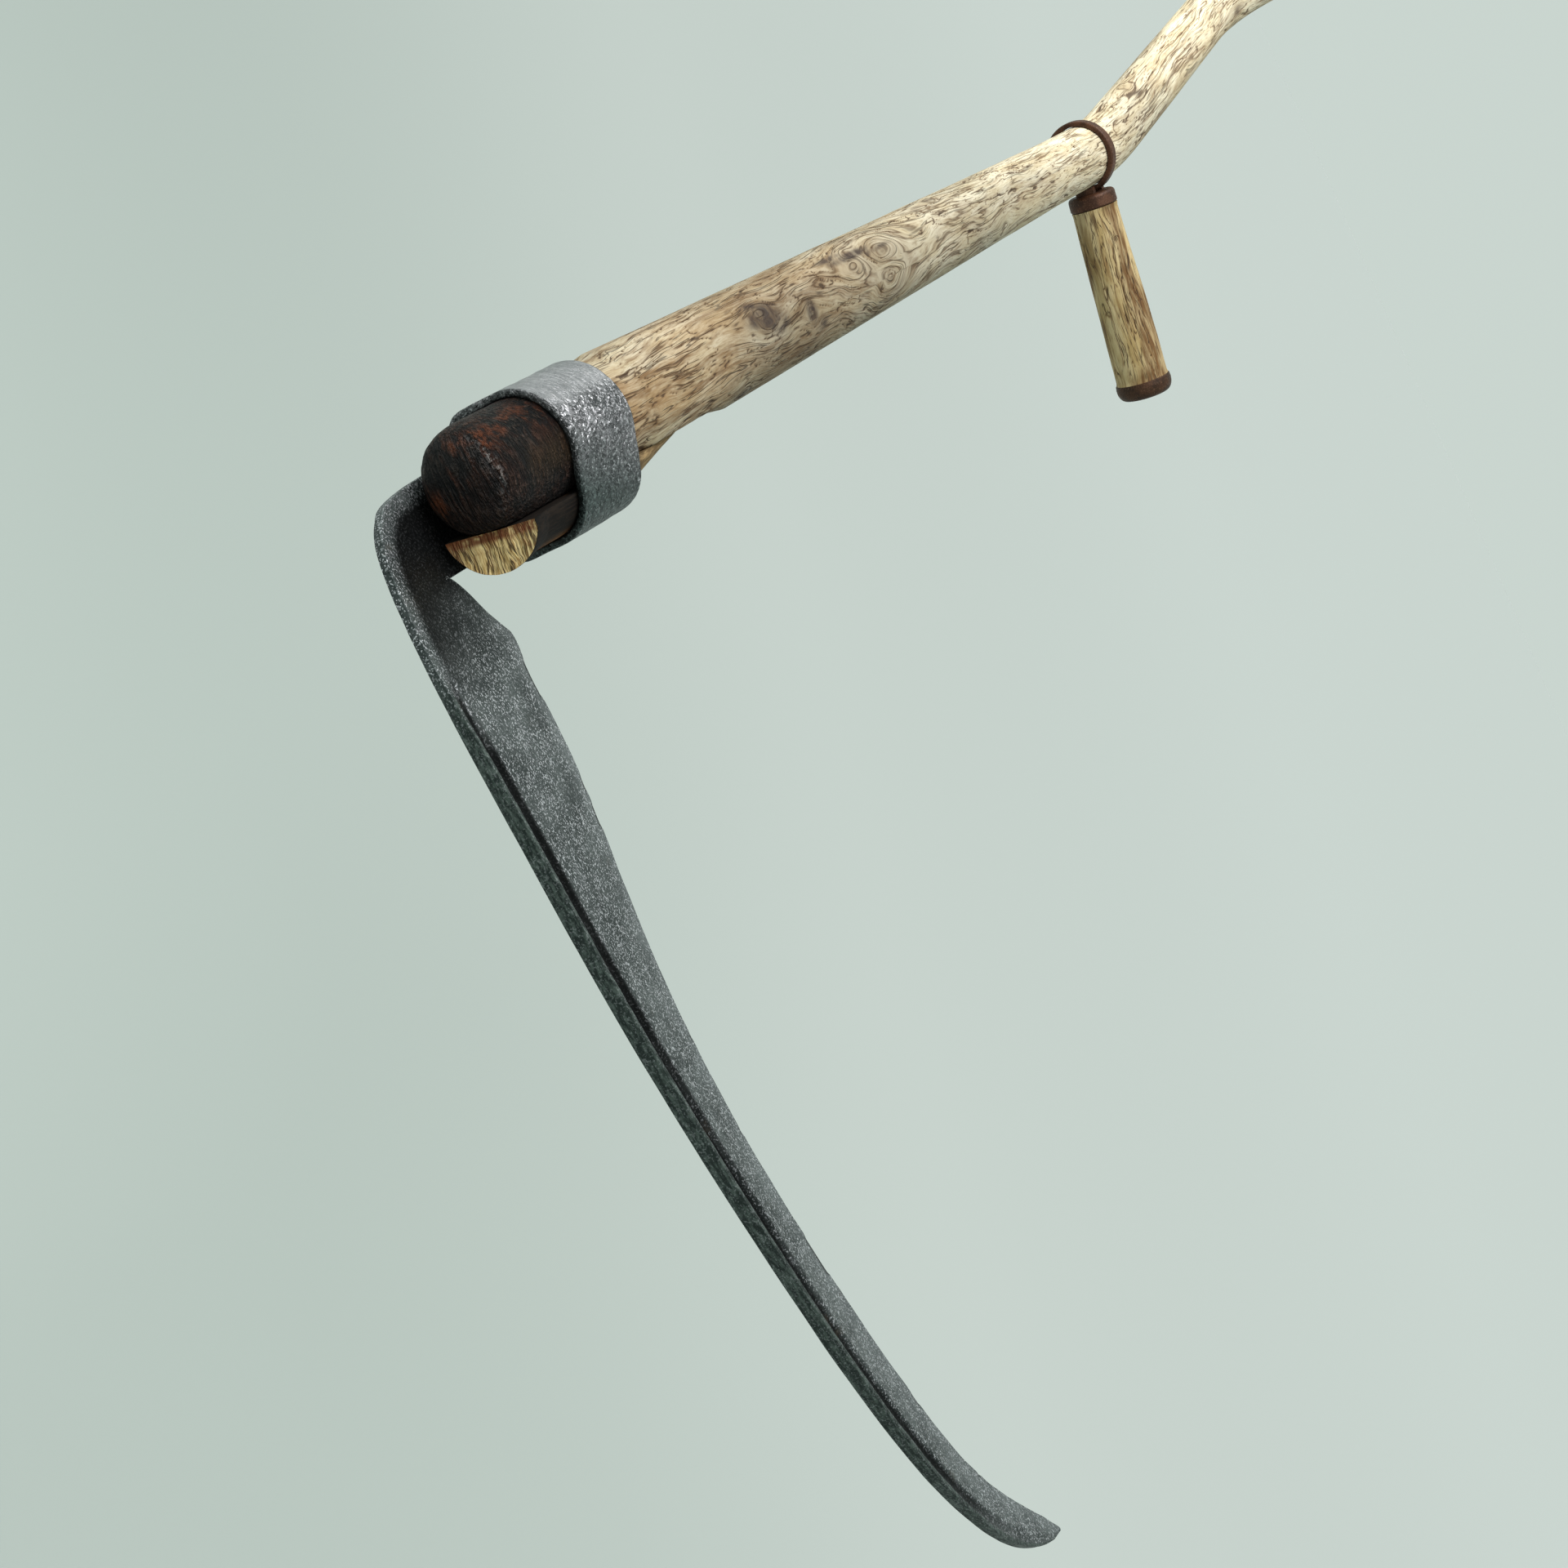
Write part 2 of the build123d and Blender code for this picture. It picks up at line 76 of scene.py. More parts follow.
BLADE = np.array([
    (-4.0, 18.5, -25.5, 4.1, 0.15, 0.20), (-18.0, 23.9, -35.9, 4.5, 0.6, 0.20),
    (-32.0, 28.5, -43.9, 5.1, 1.2, 0.3), (-44.5, 32.2, -50.7, 5.7, 1.6, 0.8),
    (-51.0, 33.9, -49.2, 6.0, 1.9, 1.1), (-57.0, 35.5, -44.4, 6.3, 2.1, 1.5),
    (-66.0, 37.8, -42.0, 6.6, 2.2, 2.0), (-80.0, 41.4, -38.4, 6.9, 2.3, 2.7),
    (-97.0, 45.9, -32.6, 7.1, 2.4, 3.3), (-113.0, 50.0, -25.1, 7.2, 2.4, 3.7),
    (-128.0, 53.7, -16.8, 7.2, 2.4, 3.9), (-144.0, 57.6, -7.6, 7.2, 2.4, 4.0),
    (-160.0, 61.2, 1.4, 7.2, 2.4, 4.0), (-178.0, 64.7, 10.3, 7.2, 2.4, 4.0),
    (-195.0, 67.7, 18.0, 7.2, 2.4, 4.0), (-222.0, 71.9, 27.6, 7.2, 2.4, 4.0),
    (-255.0, 76.2, 36.0, 7.1, 2.3, 3.9), (-295.0, 80.4, 42.3, 7.0, 2.2, 3.8),
    (-340.0, 83.8, 46.8, 6.8, 2.0, 3.6), (-385.0, 84.6, 49.3, 6.5, 1.8, 3.3),
    (-425.0, 81.9, 49.3, 6.1, 1.6, 2.9), (-452.0, 77.0, 47.2, 5.7, 1.4, 2.5),
    (-478.0, 69.3, 41.3, 5.2, 1.1, 2.0), (-498.0, 60.8, 33.7, 4.7, 0.9, 1.5),
    (-515.0, 50.3, 26.0, 4.1, 0.7, 1.0), (-529.0, 38.9, 19.6, 3.4, 0.5, 0.5),
    (-540.5, 26.2, 14.9, 2.7, 0.3, 0.2), (-547.6, 14.6, 11.9, 2.1, 0.1, 0.20)])
NIB_DIP = math.radians(10.0)
COLLAR_Z0, COLLAR_Z1, GRIP_R0, GRIP_R1, GRIP_Z1 = 22.6, 31.5, 14.7, 17.1, 144.3


# ---------------------------------------------------------------------------
# Seeded noise and small mesh helpers
# ---------------------------------------------------------------------------
def _hash(ix, iy, iz, seed):
    h = (ix * 374761393 + iy * 668265263 + iz * 1440662683 + seed * 974634777) & 0xFFFFFFFF
    h = ((h ^ (h >> 13)) * 1274126177) & 0xFFFFFFFF
    return ((h ^ (h >> 16)) & 0xFFFF) / 65535.0


def vnoise(p, seed=0):
    """Smooth value noise, 0..1, at the rows of p."""
    i = np.floor(p).astype(np.int64)
    f = p - i
    f = f * f * f * (f * (f * 6 - 15) + 10)
    out = 0.0
    for dx in (0, 1):
        wx = f[:, 0] if dx else 1 - f[:, 0]
        for dy in (0, 1):
            wy = f[:, 1] if dy else 1 - f[:, 1]
            for dz in (0, 1):
                wz = f[:, 2] if dz else 1 - f[:, 2]
                out = out + wx * wy * wz * _hash(i[:, 0] + dx, i[:, 1] + dy, i[:, 2] + dz, seed)
    return out


def fbm(p, octaves=4, seed=0, gain=0.5):
    total, amp, norm = 0.0, 1.0, 0.0
    for k in range(octaves):
        total = total + amp * vnoise(p * (2.03 ** k) + 17.3 * k, seed + k)
        norm += amp
        amp *= gain
    return total / norm


def smooth(e0, e1, x):
    t = np.clip((x - e0) / (e1 - e0), 0, 1)
    return t * t * (3 - 2 * t)


def grid_faces(rows, cols, closed=True, start=0):
    c = cols if closed else cols - 1
    i = np.arange(rows - 1)[:, None] * cols
    j = np.arange(c)[None, :]
    k = (j + 1) % cols
    f = np.stack([i + j, i + k, i + cols + k, i + cols + j], axis=-1).reshape(-1, 4)
    return (f + start).tolist()


def make(name, verts, faces, attrs=None, body=None, node=None, mats=(), face_mats=None, sharp=35.0):
    me = bpy.data.meshes.new(name)
    me.from_pydata((np.asarray(verts) * 0.001).tolist(), [], faces)
    me.update()
    for key, values in (attrs or {}).items():
        values = np.asarray(values, float)
        if values.ndim == 2:
            a = me.attributes.new(key, "FLOAT_VECTOR", "POINT")
            a.data.foreach_set("vector", values.astype(np.float32).ravel())
        else:
            a = me.attributes.new(key, "FLOAT", "POINT")
            a.data.foreach_set("value", values.astype(np.float32))
    for m in mats:
        me.materials.append(m)
    if face_mats is not None:
        me.polygons.foreach_set("material_index", np.asarray(face_mats, np.int32))
    bm = bmesh.new()
    bm.from_mesh(me)
    bmesh.ops.recalc_face_normals(bm, faces=bm.faces)
    bm.to_mesh(me)
    bm.free()
    me.shade_smooth()
    me.set_sharp_from_angle(angle=math.radians(sharp))
    ob = bpy.data.objects.new(name, me)
    bpy.context.scene.collection.objects.link(ob)
    if body:
        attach(ob, body)
    if node:
        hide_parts(node)
    return ob


# ---------------------------------------------------------------------------
# Node materials
# ---------------------------------------------------------------------------
def lin(r, g, b):
    def f(c):
        c = c / 255.0
        return c / 12.92 if c <= 0.04045 else ((c + 0.055) / 1.055) ** 2.4
    return (f(r), f(g), f(b), 1.0)


class Mat:
    """A little node builder: each call adds one node and returns the output socket."""

    def __init__(self, name):
        self.m = bpy.data.materials.new(name)
        self.m.use_nodes = True
        self.t = self.m.node_tree
        self.t.nodes.clear()
        self.out = self.t.nodes.new("ShaderNodeOutputMaterial")
        self.p = self.t.nodes.new("ShaderNodeBsdfPrincipled")
        self.t.links.new(self.p.outputs[0], self.out.inputs[0])

    def put(self, sock, v):
        if isinstance(v, bpy.types.NodeSocket):
            self.t.links.new(v, sock)
        else:
            sock.default_value = v

    def attr(self, name, vector=False):
        n = self.t.nodes.new("ShaderNodeAttribute")
        n.attribute_name = name
        return n.outputs["Vector"] if vector else n.outputs["Fac"]

    def obj(self):
        return self.t.nodes.new("ShaderNodeTexCoord").outputs["Object"]

    def scale(self, vec, s):
        n = self.t.nodes.new("ShaderNodeVectorMath")
        n.operation = "MULTIPLY"
        self.put(n.inputs[0], vec)
        n.inputs[1].default_value = s
        return n.outputs[0]

    def vadd(self, a, b):
        n = self.t.nodes.new("ShaderNodeVectorMath")
        n.operation = "ADD"
        self.put(n.inputs[0], a)
        self.put(n.inputs[1], b)
        return n.outputs[0]

    def noise(self, vec, scale, detail=2.0, rough=0.5, dist=0.0, color=False):
        n = self.t.nodes.new("ShaderNodeTexNoise")
        self.put(n.inputs["Vector"], vec)
        n.inputs["Scale"].default_value = scale
        n.inputs["Detail"].default_value = detail
        n.inputs["Roughness"].default_value = rough
        n.inputs["Distortion"].default_value = dist
        return n.outputs["Color"] if color else n.outputs["Fac"]

    def voronoi(self, vec, scale, feature="F1", out="Distance", rand=1.0):
        n = self.t.nodes.new("ShaderNodeTexVoronoi")
        n.feature = feature
        self.put(n.inputs["Vector"], vec)
        n.inputs["Scale"].default_value = scale
        n.inputs["Randomness"].default_value = rand
        return n.outputs[out]

    def math(self, op, a, b=0.0, c=None, clamp=False):
        n = self.t.nodes.new("ShaderNodeMath")
        n.operation = op
        n.use_clamp = clamp
        self.put(n.inputs[0], a)
        self.put(n.inputs[1], b)
        if c is not None:
            self.put(n.inputs[2], c)
        return n.outputs[0]

    def ramp(self, v, lo, hi, a=0.0, b=1.0):
        """v from lo..hi to a..b, smoothly, held outside."""
        n = self.t.nodes.new("ShaderNodeMapRange")
        n.interpolation_type = "SMOOTHSTEP"
        self.put(n.inputs["Value"], v)
        n.inputs["From Min"].default_value = lo
        n.inputs["From Max"].default_value = hi
        n.inputs["To Min"].default_value = a
        n.inputs["To Max"].default_value = b
        return n.outputs["Result"]

    def ridge(self, v, width, centre=0.5):
        """1 along the lines where v crosses centre, fading to 0 at width."""
        d = self.math("ABSOLUTE", self.math("SUBTRACT", v, centre))
        return self.ramp(d, 0.0, width, 1.0, 0.0)

    def mix(self, fac, a, b, blend="MIX"):
        n = self.t.nodes.new("ShaderNodeMix")
        n.data_type = "RGBA"
        n.blend_type = blend
        self.put(n.inputs[0], fac)
        self.put(n.inputs[6], a)
        self.put(n.inputs[7], b)
        return n.outputs[2]

    def fmix(self, fac, a, b):
        n = self.t.nodes.new("ShaderNodeMix")
        self.put(n.inputs[0], fac)
        self.put(n.inputs[2], a)
        self.put(n.inputs[3], b)
        return n.outputs[0]

    def mul(self, *vs):
        out = vs[0]
        for v in vs[1:]:
            out = self.math("MULTIPLY", out, v)
        return out

    def bump(self, height, dist, strength=1.0, normal=None):
        n = self.t.nodes.new("ShaderNodeBump")
        n.inputs["Strength"].default_value = strength
        n.inputs["Distance"].default_value = dist
        self.put(n.inputs["Height"], height)
        if normal is not None:
            self.put(n.inputs["Normal"], normal)
        return n.outputs[0]

    def finish(self, color, rough, normal=None, metallic=0.0, spec=0.5, coat=0.0):
        self.put(self.p.inputs["Base Color"], color)
        self.put(self.p.inputs["Roughness"], rough)
        self.put(self.p.inputs["Metallic"], metallic)
        self.p.inputs["Specular IOR Level"].default_value = spec
        self.p.inputs["Coat Weight"].default_value = coat
        if normal is not None:
            self.put(self.p.inputs["Normal"], normal)
        return self.m


def snath_wood():
    """Bare bleached wood, with cracks and stains along the grain, charred at its foot."""
    m = Mat("weathered_pole_wood")
    flow, loc = m.attr("flow", True), m.attr("loc", True)
    crack, knot, char, tone_and_painted_light, tan = (m.attr(k) for k in ("crack", "knot", "char", "tone_and_painted_light", "tan"))
    wob = m.scale(m.noise(m.scale(flow, (1, 1, 0.4)), 38.0, 2.0, color=True), (0.0045, 0.0045, 0.008))
    g = m.vadd(flow, wob)
    long_ = m.scale(g, (1, 1, 0.10))
    mid = m.scale(g, (1, 1, 0.22))
    fibre = m.noise(long_, 1500.0, 3.0, 0.6)
    broad = m.noise(long_, 260.0, 4.0, 0.55)
    patch = m.noise(m.scale(flow, (1, 1, 0.35)), 42.0, 3.0, 0.55)
    cloud = m.noise(mid, 130.0, 4.0, 0.6)
    cream, pale = lin(196, 183, 154), lin(217, 209, 187)
    tanc, brown, dark = lin(150, 120, 82), lin(112, 82, 52), lin(58, 42, 32)
    base = m.mix(m.ramp(cloud, 0.36, 0.68), cream, pale)
    base = m.mix(m.mul(tan, m.ramp(patch, 0.30, 0.62, 0.25, 1.0)), base, tanc)
    base = m.mix(m.mul(m.ramp(broad, 0.46, 0.66), m.math("MULTIPLY_ADD", tan, 0.60, 0.18)), base, brown)
    base = m.mix(m.mul(m.ramp(fibre, 0.46, 0.72), 0.48), base, brown)
    base = m.mix(m.mul(m.ramp(fibre, 0.50, 0.26), 0.22), base, pale)
    # short wavy hairline cracks
    net = m.noise(m.scale(g, (1, 1, 0.060)), 300.0, 2.0, 0.5, 0.12)
    lines = m.ridge(net, 0.032)
    gate = m.ramp(m.noise(m.scale(g, (1, 1, 0.17)), 150.0, 2.0), 0.45, 0.53)
    net2 = m.noise(m.scale(m.vadd(g, (0.31, 0.17, 0.05)), (1, 1, 0.050)), 500.0, 1.0, 0.5, 0.1)
    gate2 = m.ramp(m.noise(m.scale(g, (1, 1, 0.14)), 210.0, 2.0), 0.48, 0.58)
    hair = m.math("MAXIMUM", m.mul(lines, gate), m.mul(m.ridge(net2, 0.045), gate2, 0.85))
    base = m.mix(m.mul(hair, m.math("MULTIPLY_ADD", tan, 0.30, 0.60)), base, dark)
    halo = m.mul(m.ridge(net, 0.11), gate)
    base = m.mix(m.mul(halo, 0.42), base, brown)
    # the modelled cracks
    base = m.mix(m.mul(m.ramp(crack, 0.02, 0.55), 0.45), base, brown)
    base = m.mix(m.mul(m.ramp(crack, 0.35, 0.9), 0.78), base, dark)
    # knots
    kn = m.mul(m.ramp(knot, 0.10, 0.80), m.ramp(m.noise(m.scale(g, (1, 1, 0.35)), 260.0, 4.0, 0.65), 0.36, 0.60))
    base = m.mix(m.mul(m.ramp(knot, 0.0, 0.8), 0.50), base, lin(112, 94, 76))
    base = m.mix(m.mul(kn, 0.92), base, lin(66, 54, 50))
    # multiply by the tone attribute: a tone that changes along the pole, plus painted light on the sides facing up and
    # down in the picture
    base = m.mix(1.0, base, tone_and_painted_light, "MULTIPLY")
    # charred foot
    cross = m.scale(loc, (0.13, 1.0, 1.0))
    wr = m.noise(m.vadd(cross, m.scale(m.noise(loc, 60.0, 2.0, color=True), (0.003, 0.003, 0.003))), 760.0, 3.0, 0.65)
    cr = m.noise(loc, 640.0, 2.0, 0.6)
    wrinkle = m.mul(m.ramp(wr, 0.30, 0.70), m.ramp(cr, 0.15, 0.65, 0.35, 1.0))
    red = m.ramp(m.noise(m.scale(loc, (0.55, 1.0, 1.0)), 110.0, 3.0, 0.6), 0.40, 0.58)
    black = m.mix(m.mul(m.ramp(wr, 0.46, 0.66), m.ramp(cr, 0.36, 0.60, 0.3, 1.0)), lin(4, 4, 5), lin(54, 44, 39))
    black = m.mix(m.mul(red, m.ramp(wr, 0.28, 0.62), m.attr("ember")), black, lin(104, 54, 29))
    olive = m.ramp(m.attr("olive"), 0.0, 1.0)
    black = m.mix(m.mul(olive, 0.6, m.ramp(wr, 0.2, 0.6)), black, lin(62, 46, 27))
    # painted highlight: a pale glint on the ridge of the charred foot
    black = m.mix(m.mul(m.attr("painted_glint"), m.ramp(cr, 0.50, 0.62)), black, lin(168, 164, 164))
    color = m.mix(char, base, black)
    h = m.math("SUBTRACT", m.mul(fibre, 0.35), m.mul(hair, 0.8))
    h = m.fmix(char, h, m.mul(wrinkle, 4.6))
    nrm = m.bump(h, 0.0006, 0.9)
    rough = m.fmix(char, m.ramp(fibre, 0.3, 0.7, 0.66, 0.82), m.ramp(wr, 0.3, 0.7, 0.62, 0.36))
    return m.finish(color, rough, nrm, 0.0, 0.16)


def grip_wood():
    """Straw-coloured grip wood with golden stains and long dark cracks."""
    m = Mat("straw_grip_wood")
    flow, crack, stain = m.attr("flow", True), m.attr("crack"), m.attr("stain")
    wob = m.scale(m.noise(m.scale(flow, (1, 1, 0.5)), 60.0, 2.0, color=True), (0.004, 0.004, 0.010))
    g = m.vadd(flow, wob)
    fibre = m.noise(m.scale(g, (1, 1, 0.07)), 1700.0, 3.0, 0.6)
    broad = m.noise(m.scale(g, (1, 1, 0.09)), 420.0, 4.0, 0.6)
    patch = m.noise(m.scale(g, (1, 1, 0.30)), 85.0, 4.0, 0.6)
    base = m.mix(m.ramp(patch, 0.34, 0.62), lin(176, 156, 110), lin(204, 190, 152))
    base = m.mix(m.mul(m.ramp(broad, 0.46, 0.66), 0.62), base, lin(130, 102, 62))
    base = m.mix(m.mul(stain, m.ramp(broad, 0.28, 0.62, 0.35, 1.0)), base, lin(104, 76, 44))
    base = m.mix(m.mul(m.ramp(fibre, 0.48, 0.78), 0.42), base, lin(128, 96, 56))
    fine = m.mul(m.ridge(m.noise(m.scale(g, (1, 1, 0.09)), 300.0, 3.0, 0.5, 0.3), 0.032),
                 m.ramp(m.noise(m.scale(g, (1, 1, 0.3)), 120.0, 2.0), 0.42, 0.52))
    base = m.mix(m.mul(fine, 0.85), base, lin(70, 48, 30))
    base = m.mix(m.mul(m.ramp(crack, 0.02, 0.5), 0.55), base, lin(122, 88, 50))
    base = m.mix(m.mul(m.ramp(crack, 0.35, 0.9), 0.92), base, lin(44, 32, 22))
    h = m.math("SUBTRACT", m.mul(fibre, 0.4), m.mul(fine, 0.8))
    return m.finish(m.mix(1.0, base, lin(236, 228, 218), "MULTIPLY"), m.ramp(fibre, 0.3, 0.7, 0.60, 0.76), m.bump(h, 0.0005, 0.8), 0.0, 0.25)


def blade_steel():
    """Old forged steel: dark, mottled, with fine bright specks and short curved scratches."""
    m = Mat("old_blade_steel")
    o = m.obj()
    groove, rib_wall_shade, edge, neck_shade, dark = (m.attr(k) for k in ("groove", "rib_wall_shade", "edge", "neck_shade", "sliver"))
    mott = m.noise(o, 38.0, 5.0, 0.62)
    mott2 = m.noise(o, 160.0, 4.0, 0.6)
    speck = m.noise(o, 1050.0, 2.0, 0.6)
    arc = m.ridge(m.noise(o, 330.0, 1.5, 0.5, 2.2), 0.020)
    arcg = m.ramp(m.noise(o, 520.0, 2.0), 0.58, 0.66)
    pits = m.noise(o, 620.0, 3.0, 0.6)
    body = m.mix(m.ramp(mott, 0.34, 0.66), lin(54, 60, 60), lin(91, 97, 97))
    body = m.mix(m.mul(m.ramp(mott2, 0.52, 0.74), 0.50), body, lin(122, 122, 127))
    body = m.mix(m.mul(m.ramp(pits, 0.52, 0.36), 0.45), body, lin(40, 46, 47))
    # painted shade: the rib's outer wall gets a darker, greenish streaked tone
    rib_wall_shaded_col = m.mix(m.ramp(m.noise(m.scale(o, (0.25, 1, 1)), 700.0, 3.0, 0.6), 0.40, 0.66), lin(46, 54, 52), lin(88, 98, 94))
    body = m.mix(m.mul(rib_wall_shade, 0.95), body, rib_wall_shaded_col)
    body = m.mix(m.mul(edge, 0.35), body, lin(134, 140, 142))
    # painted shade: the groove behind the rib is coloured near black for the shadow in it
    body = m.mix(m.mul(groove, 0.94), body, lin(10, 12, 12))
    # painted shade: the inner face of the neck, shadowed by the foot and wedge, is coloured near black
    body = m.mix(m.mul(neck_shade, 0.96), body, lin(9, 10, 11))
    rust = m.mul(m.ramp(m.noise(o, 70.0, 4.0, 0.65), 0.63, 0.74), m.math("SUBTRACT", 1.0, neck_shade, clamp=True), 0.24)
    body = m.mix(rust, body, lin(86, 74, 60))
    sp = m.mul(m.ramp(speck, 0.560, 0.615), m.ramp(mott2, 0.34, 0.54, 0.30, 1.0))
    spk = m.math("MAXIMUM", sp, m.mul(arc, arcg))
    clean = m.math("SUBTRACT", 1.0, m.math("MAXIMUM", m.math("MAXIMUM", m.mul(groove, 0.95), m.mul(neck_shade, 0.9)), m.mul(rib_wall_shade, 0.75)), clamp=True)
    spk = m.mul(spk, clean)
    body = m.mix(m.mul(spk, 0.80), body, lin(202, 204, 209))
    body = m.mix(dark, body, lin(6, 7, 7))
    h = m.math("ADD", m.mul(pits, 0.8), m.mul(speck, 0.5))
    h = m.math("ADD", h, m.mul(spk, 0.35))
    rough = m.math("SUBTRACT", m.ramp(mott2, 0.35, 0.7, 0.60, 0.47), m.mul(spk, 0.10))
    rough = m.math("ADD", rough, m.mul(groove, 0.25))
    metal = 0.93
    return m.finish(body, rough, m.bump(h, 0.00045, 0.75), metal, 0.5)


def ring_iron():
    """Forged ring: leathery hammer texture, rubbed bright, with a smooth filed patch."""
    m = Mat("hammered_ring_iron")
    o, filed, bore_painted_shade, rim, under = m.obj(), m.attr("filed"), m.attr("bore_painted_shade"), m.attr("rim"), m.attr("under")
    warp = m.vadd(o, m.scale(m.noise(o, 260.0, 2.0, color=True), (0.0022, 0.0022, 0.0022)))
    cell = m.voronoi(warp, 560.0, "SMOOTH_F1")
    cell2 = m.noise(warp, 760.0, 3.0, 0.6)
    crease = m.ridge(m.noise(warp, 300.0, 3.0, 0.55, 0.8), 0.05)
    brush = m.noise(m.scale(m.attr("loc", True), (0.06, 1.0, 1.0)), 900.0, 2.0, 0.6)
    mott = m.noise(o, 60.0, 4.0, 0.6)
    body = m.mix(m.ramp(mott, 0.35, 0.68), lin(92, 94, 96), lin(134, 133, 137))
    body = m.mix(m.mul(m.ramp(cell2, 0.50, 0.64), 0.66), body, lin(208, 207, 212))
    body = m.mix(m.mul(crease, 0.75), body, lin(46, 48, 50))
    smoothc = m.mix(m.ramp(brush, 0.35, 0.7), lin(140, 141, 144), lin(176, 175, 178))
    body = m.mix(m.mul(filed, 0.70), body, smoothc)
    body = m.mix(m.mul(rim, 0.40), body, lin(48, 51, 51))
    # painted shade: the side of the ring lower in the picture is darkened and tinted green
    body = m.mix(under, body, m.mix(1.0, body, lin(146, 163, 158), "MULTIPLY"))
    # painted shade: the inside of the ring is coloured near black
    body = m.mix(bore_painted_shade, body, lin(10, 10, 10))
    h = m.math("ADD", m.mul(cell, 1.1), m.mul(cell2, 0.9))
    h = m.math("SUBTRACT", h, m.mul(crease, 0.9))
    h = m.fmix(m.mul(filed, 0.9), h, m.mul(brush, 0.25))
    rough = m.fmix(filed, m.ramp(cell2, 0.35, 0.7, 0.50, 0.34), 0.42)
    rough = m.math("ADD", rough, m.mul(bore_painted_shade, 0.35))
    return m.finish(body, rough, m.bump(h, 0.0008, 0.9), 0.93, 0.5)


def wedge_end():
    """Cut end of the wedge: straw wood with dark stripes across it."""
    m = Mat("wedge_cut_end")
    loc = m.attr("loc", True)
    w = m.vadd(loc, m.scale(m.noise(loc, 110.0, 3.0, color=True), (0.0030, 0.0030, 0.0030)))
    stripe = m.noise(m.scale(w, (0.10, 1.0, 0.3)), 260.0, 3.0, 0.6)
    fine = m.noise(m.scale(w, (0.09, 1.0, 0.3)), 1300.0, 3.0, 0.6)
    base = m.mix(m.ramp(fine, 0.34, 0.66), lin(186, 152, 94), lin(238, 212, 156))
    base = m.mix(m.mul(m.ridge(stripe, 0.060), 0.90), base, lin(58, 34, 17))
    base = m.mix(m.mul(m.ridge(stripe, 0.028, 0.40), 0.8), base, lin(52, 30, 15))
    base = m.mix(m.mul(m.ramp(m.noise(w, 120.0, 3.0, 0.6), 0.46, 0.66), 0.55), base, lin(138, 92, 46))
    base = m.mix(m.mul(m.attr("topedge"), m.ramp(m.noise(w, 260.0, 3.0, 0.6), 0.25, 0.55), 0.9), base, lin(104, 50, 24))
    base = m.mix(m.mul(m.attr("lowtip"), 0.85), base, lin(96, 50, 24))
    return m.finish(base, 0.62, m.bump(m.math("SUBTRACT", m.mul(fine, 0.8), m.mul(m.ridge(stripe, 0.055), 1.2)), 0.0005, 0.8), 0.0, 0.25)


def wedge_bark_and_shade():
    """Split sides of the wedge, bark-dark and darkened further by painted shade, orange-brown where the bark is rubbed
    off.
    """
    m = Mat("wedge_bark_and_painted_shade")
    loc = m.attr("loc", True)
    w = m.vadd(loc, m.scale(m.noise(loc, 70.0, 3.0, color=True), (0.003, 0.003, 0.006)))
    fib = m.noise(m.scale(w, (1, 1, 0.10)), 900.0, 4.0, 0.6)
    pat = m.noise(m.scale(w, (1, 1, 0.35)), 75.0, 4.0, 0.6)
    # painted shade: the near-black base stands for dark bark lying in shadow
    base = m.mix(m.ramp(fib, 0.35, 0.68), lin(11, 9, 8), lin(29, 22, 17))
    rub = m.math("MAXIMUM", m.mul(m.attr("rub"), m.ramp(pat, 0.30, 0.58)), m.mul(m.ramp(pat, 0.58, 0.72), 0.45))
    base = m.mix(rub, base, m.mix(m.ramp(fib, 0.38, 0.62), lin(112, 66, 32), lin(152, 104, 56)))
    base = m.mix(m.mul(m.attr("tipness"), 0.75), base, m.mix(m.ramp(fib, 0.38, 0.62), lin(104, 84, 58), lin(150, 126, 90)))
    return m.finish(base, 0.8, m.bump(fib, 0.0006, 0.8), 0.0, 0.12)


def brown_iron(name, c0, c1, metal=0.25, r0=0.42, r1=0.62):
    """Satin iron under a thin even brown rust, rubbed along its edges."""
    m = Mat(name)
    o = m.obj()
    mott = m.noise(o, 120.0, 4.0, 0.6)
    fine = m.noise(o, 1100.0, 3.0, 0.6)
    grit = m.noise(o, 2600.0, 2.0, 0.5)
    base = m.mix(m.ramp(mott, 0.34, 0.66), c0, c1)
    base = m.mix(m.mul(m.ramp(fine, 0.52, 0.74), 0.35), base, lin(132, 98, 74))
    base = m.mix(m.mul(m.ramp(fine, 0.46, 0.28), 0.40), base, lin(44, 30, 24))
    h = m.math("ADD", m.mul(fine, 0.8), m.mul(grit, 0.3))
    h = m.math("ADD", h, m.mul(mott, 0.9))
    return m.finish(base, m.ramp(fine, 0.3, 0.7, r1, r0), m.bump(h, 0.00028, 0.6), metal, 0.28)


M_SNATH, M_GRIP, M_BLADE, M_RING = snath_wood(), grip_wood(), blade_steel(), ring_iron()
M_WEND, M_WBARK_SHADE = wedge_end(), wedge_bark_and_shade()
M_NIB = brown_iron("nib_brown_iron", lin(52, 29, 17), lin(80, 50, 34))
M_CAP = brown_iron("cap_brown_iron", lin(42, 25, 14), lin(68, 43, 27))
M_NUT = brown_iron("nut_dark_iron", lin(52, 48, 46), lin(84, 78, 74), 0.6)


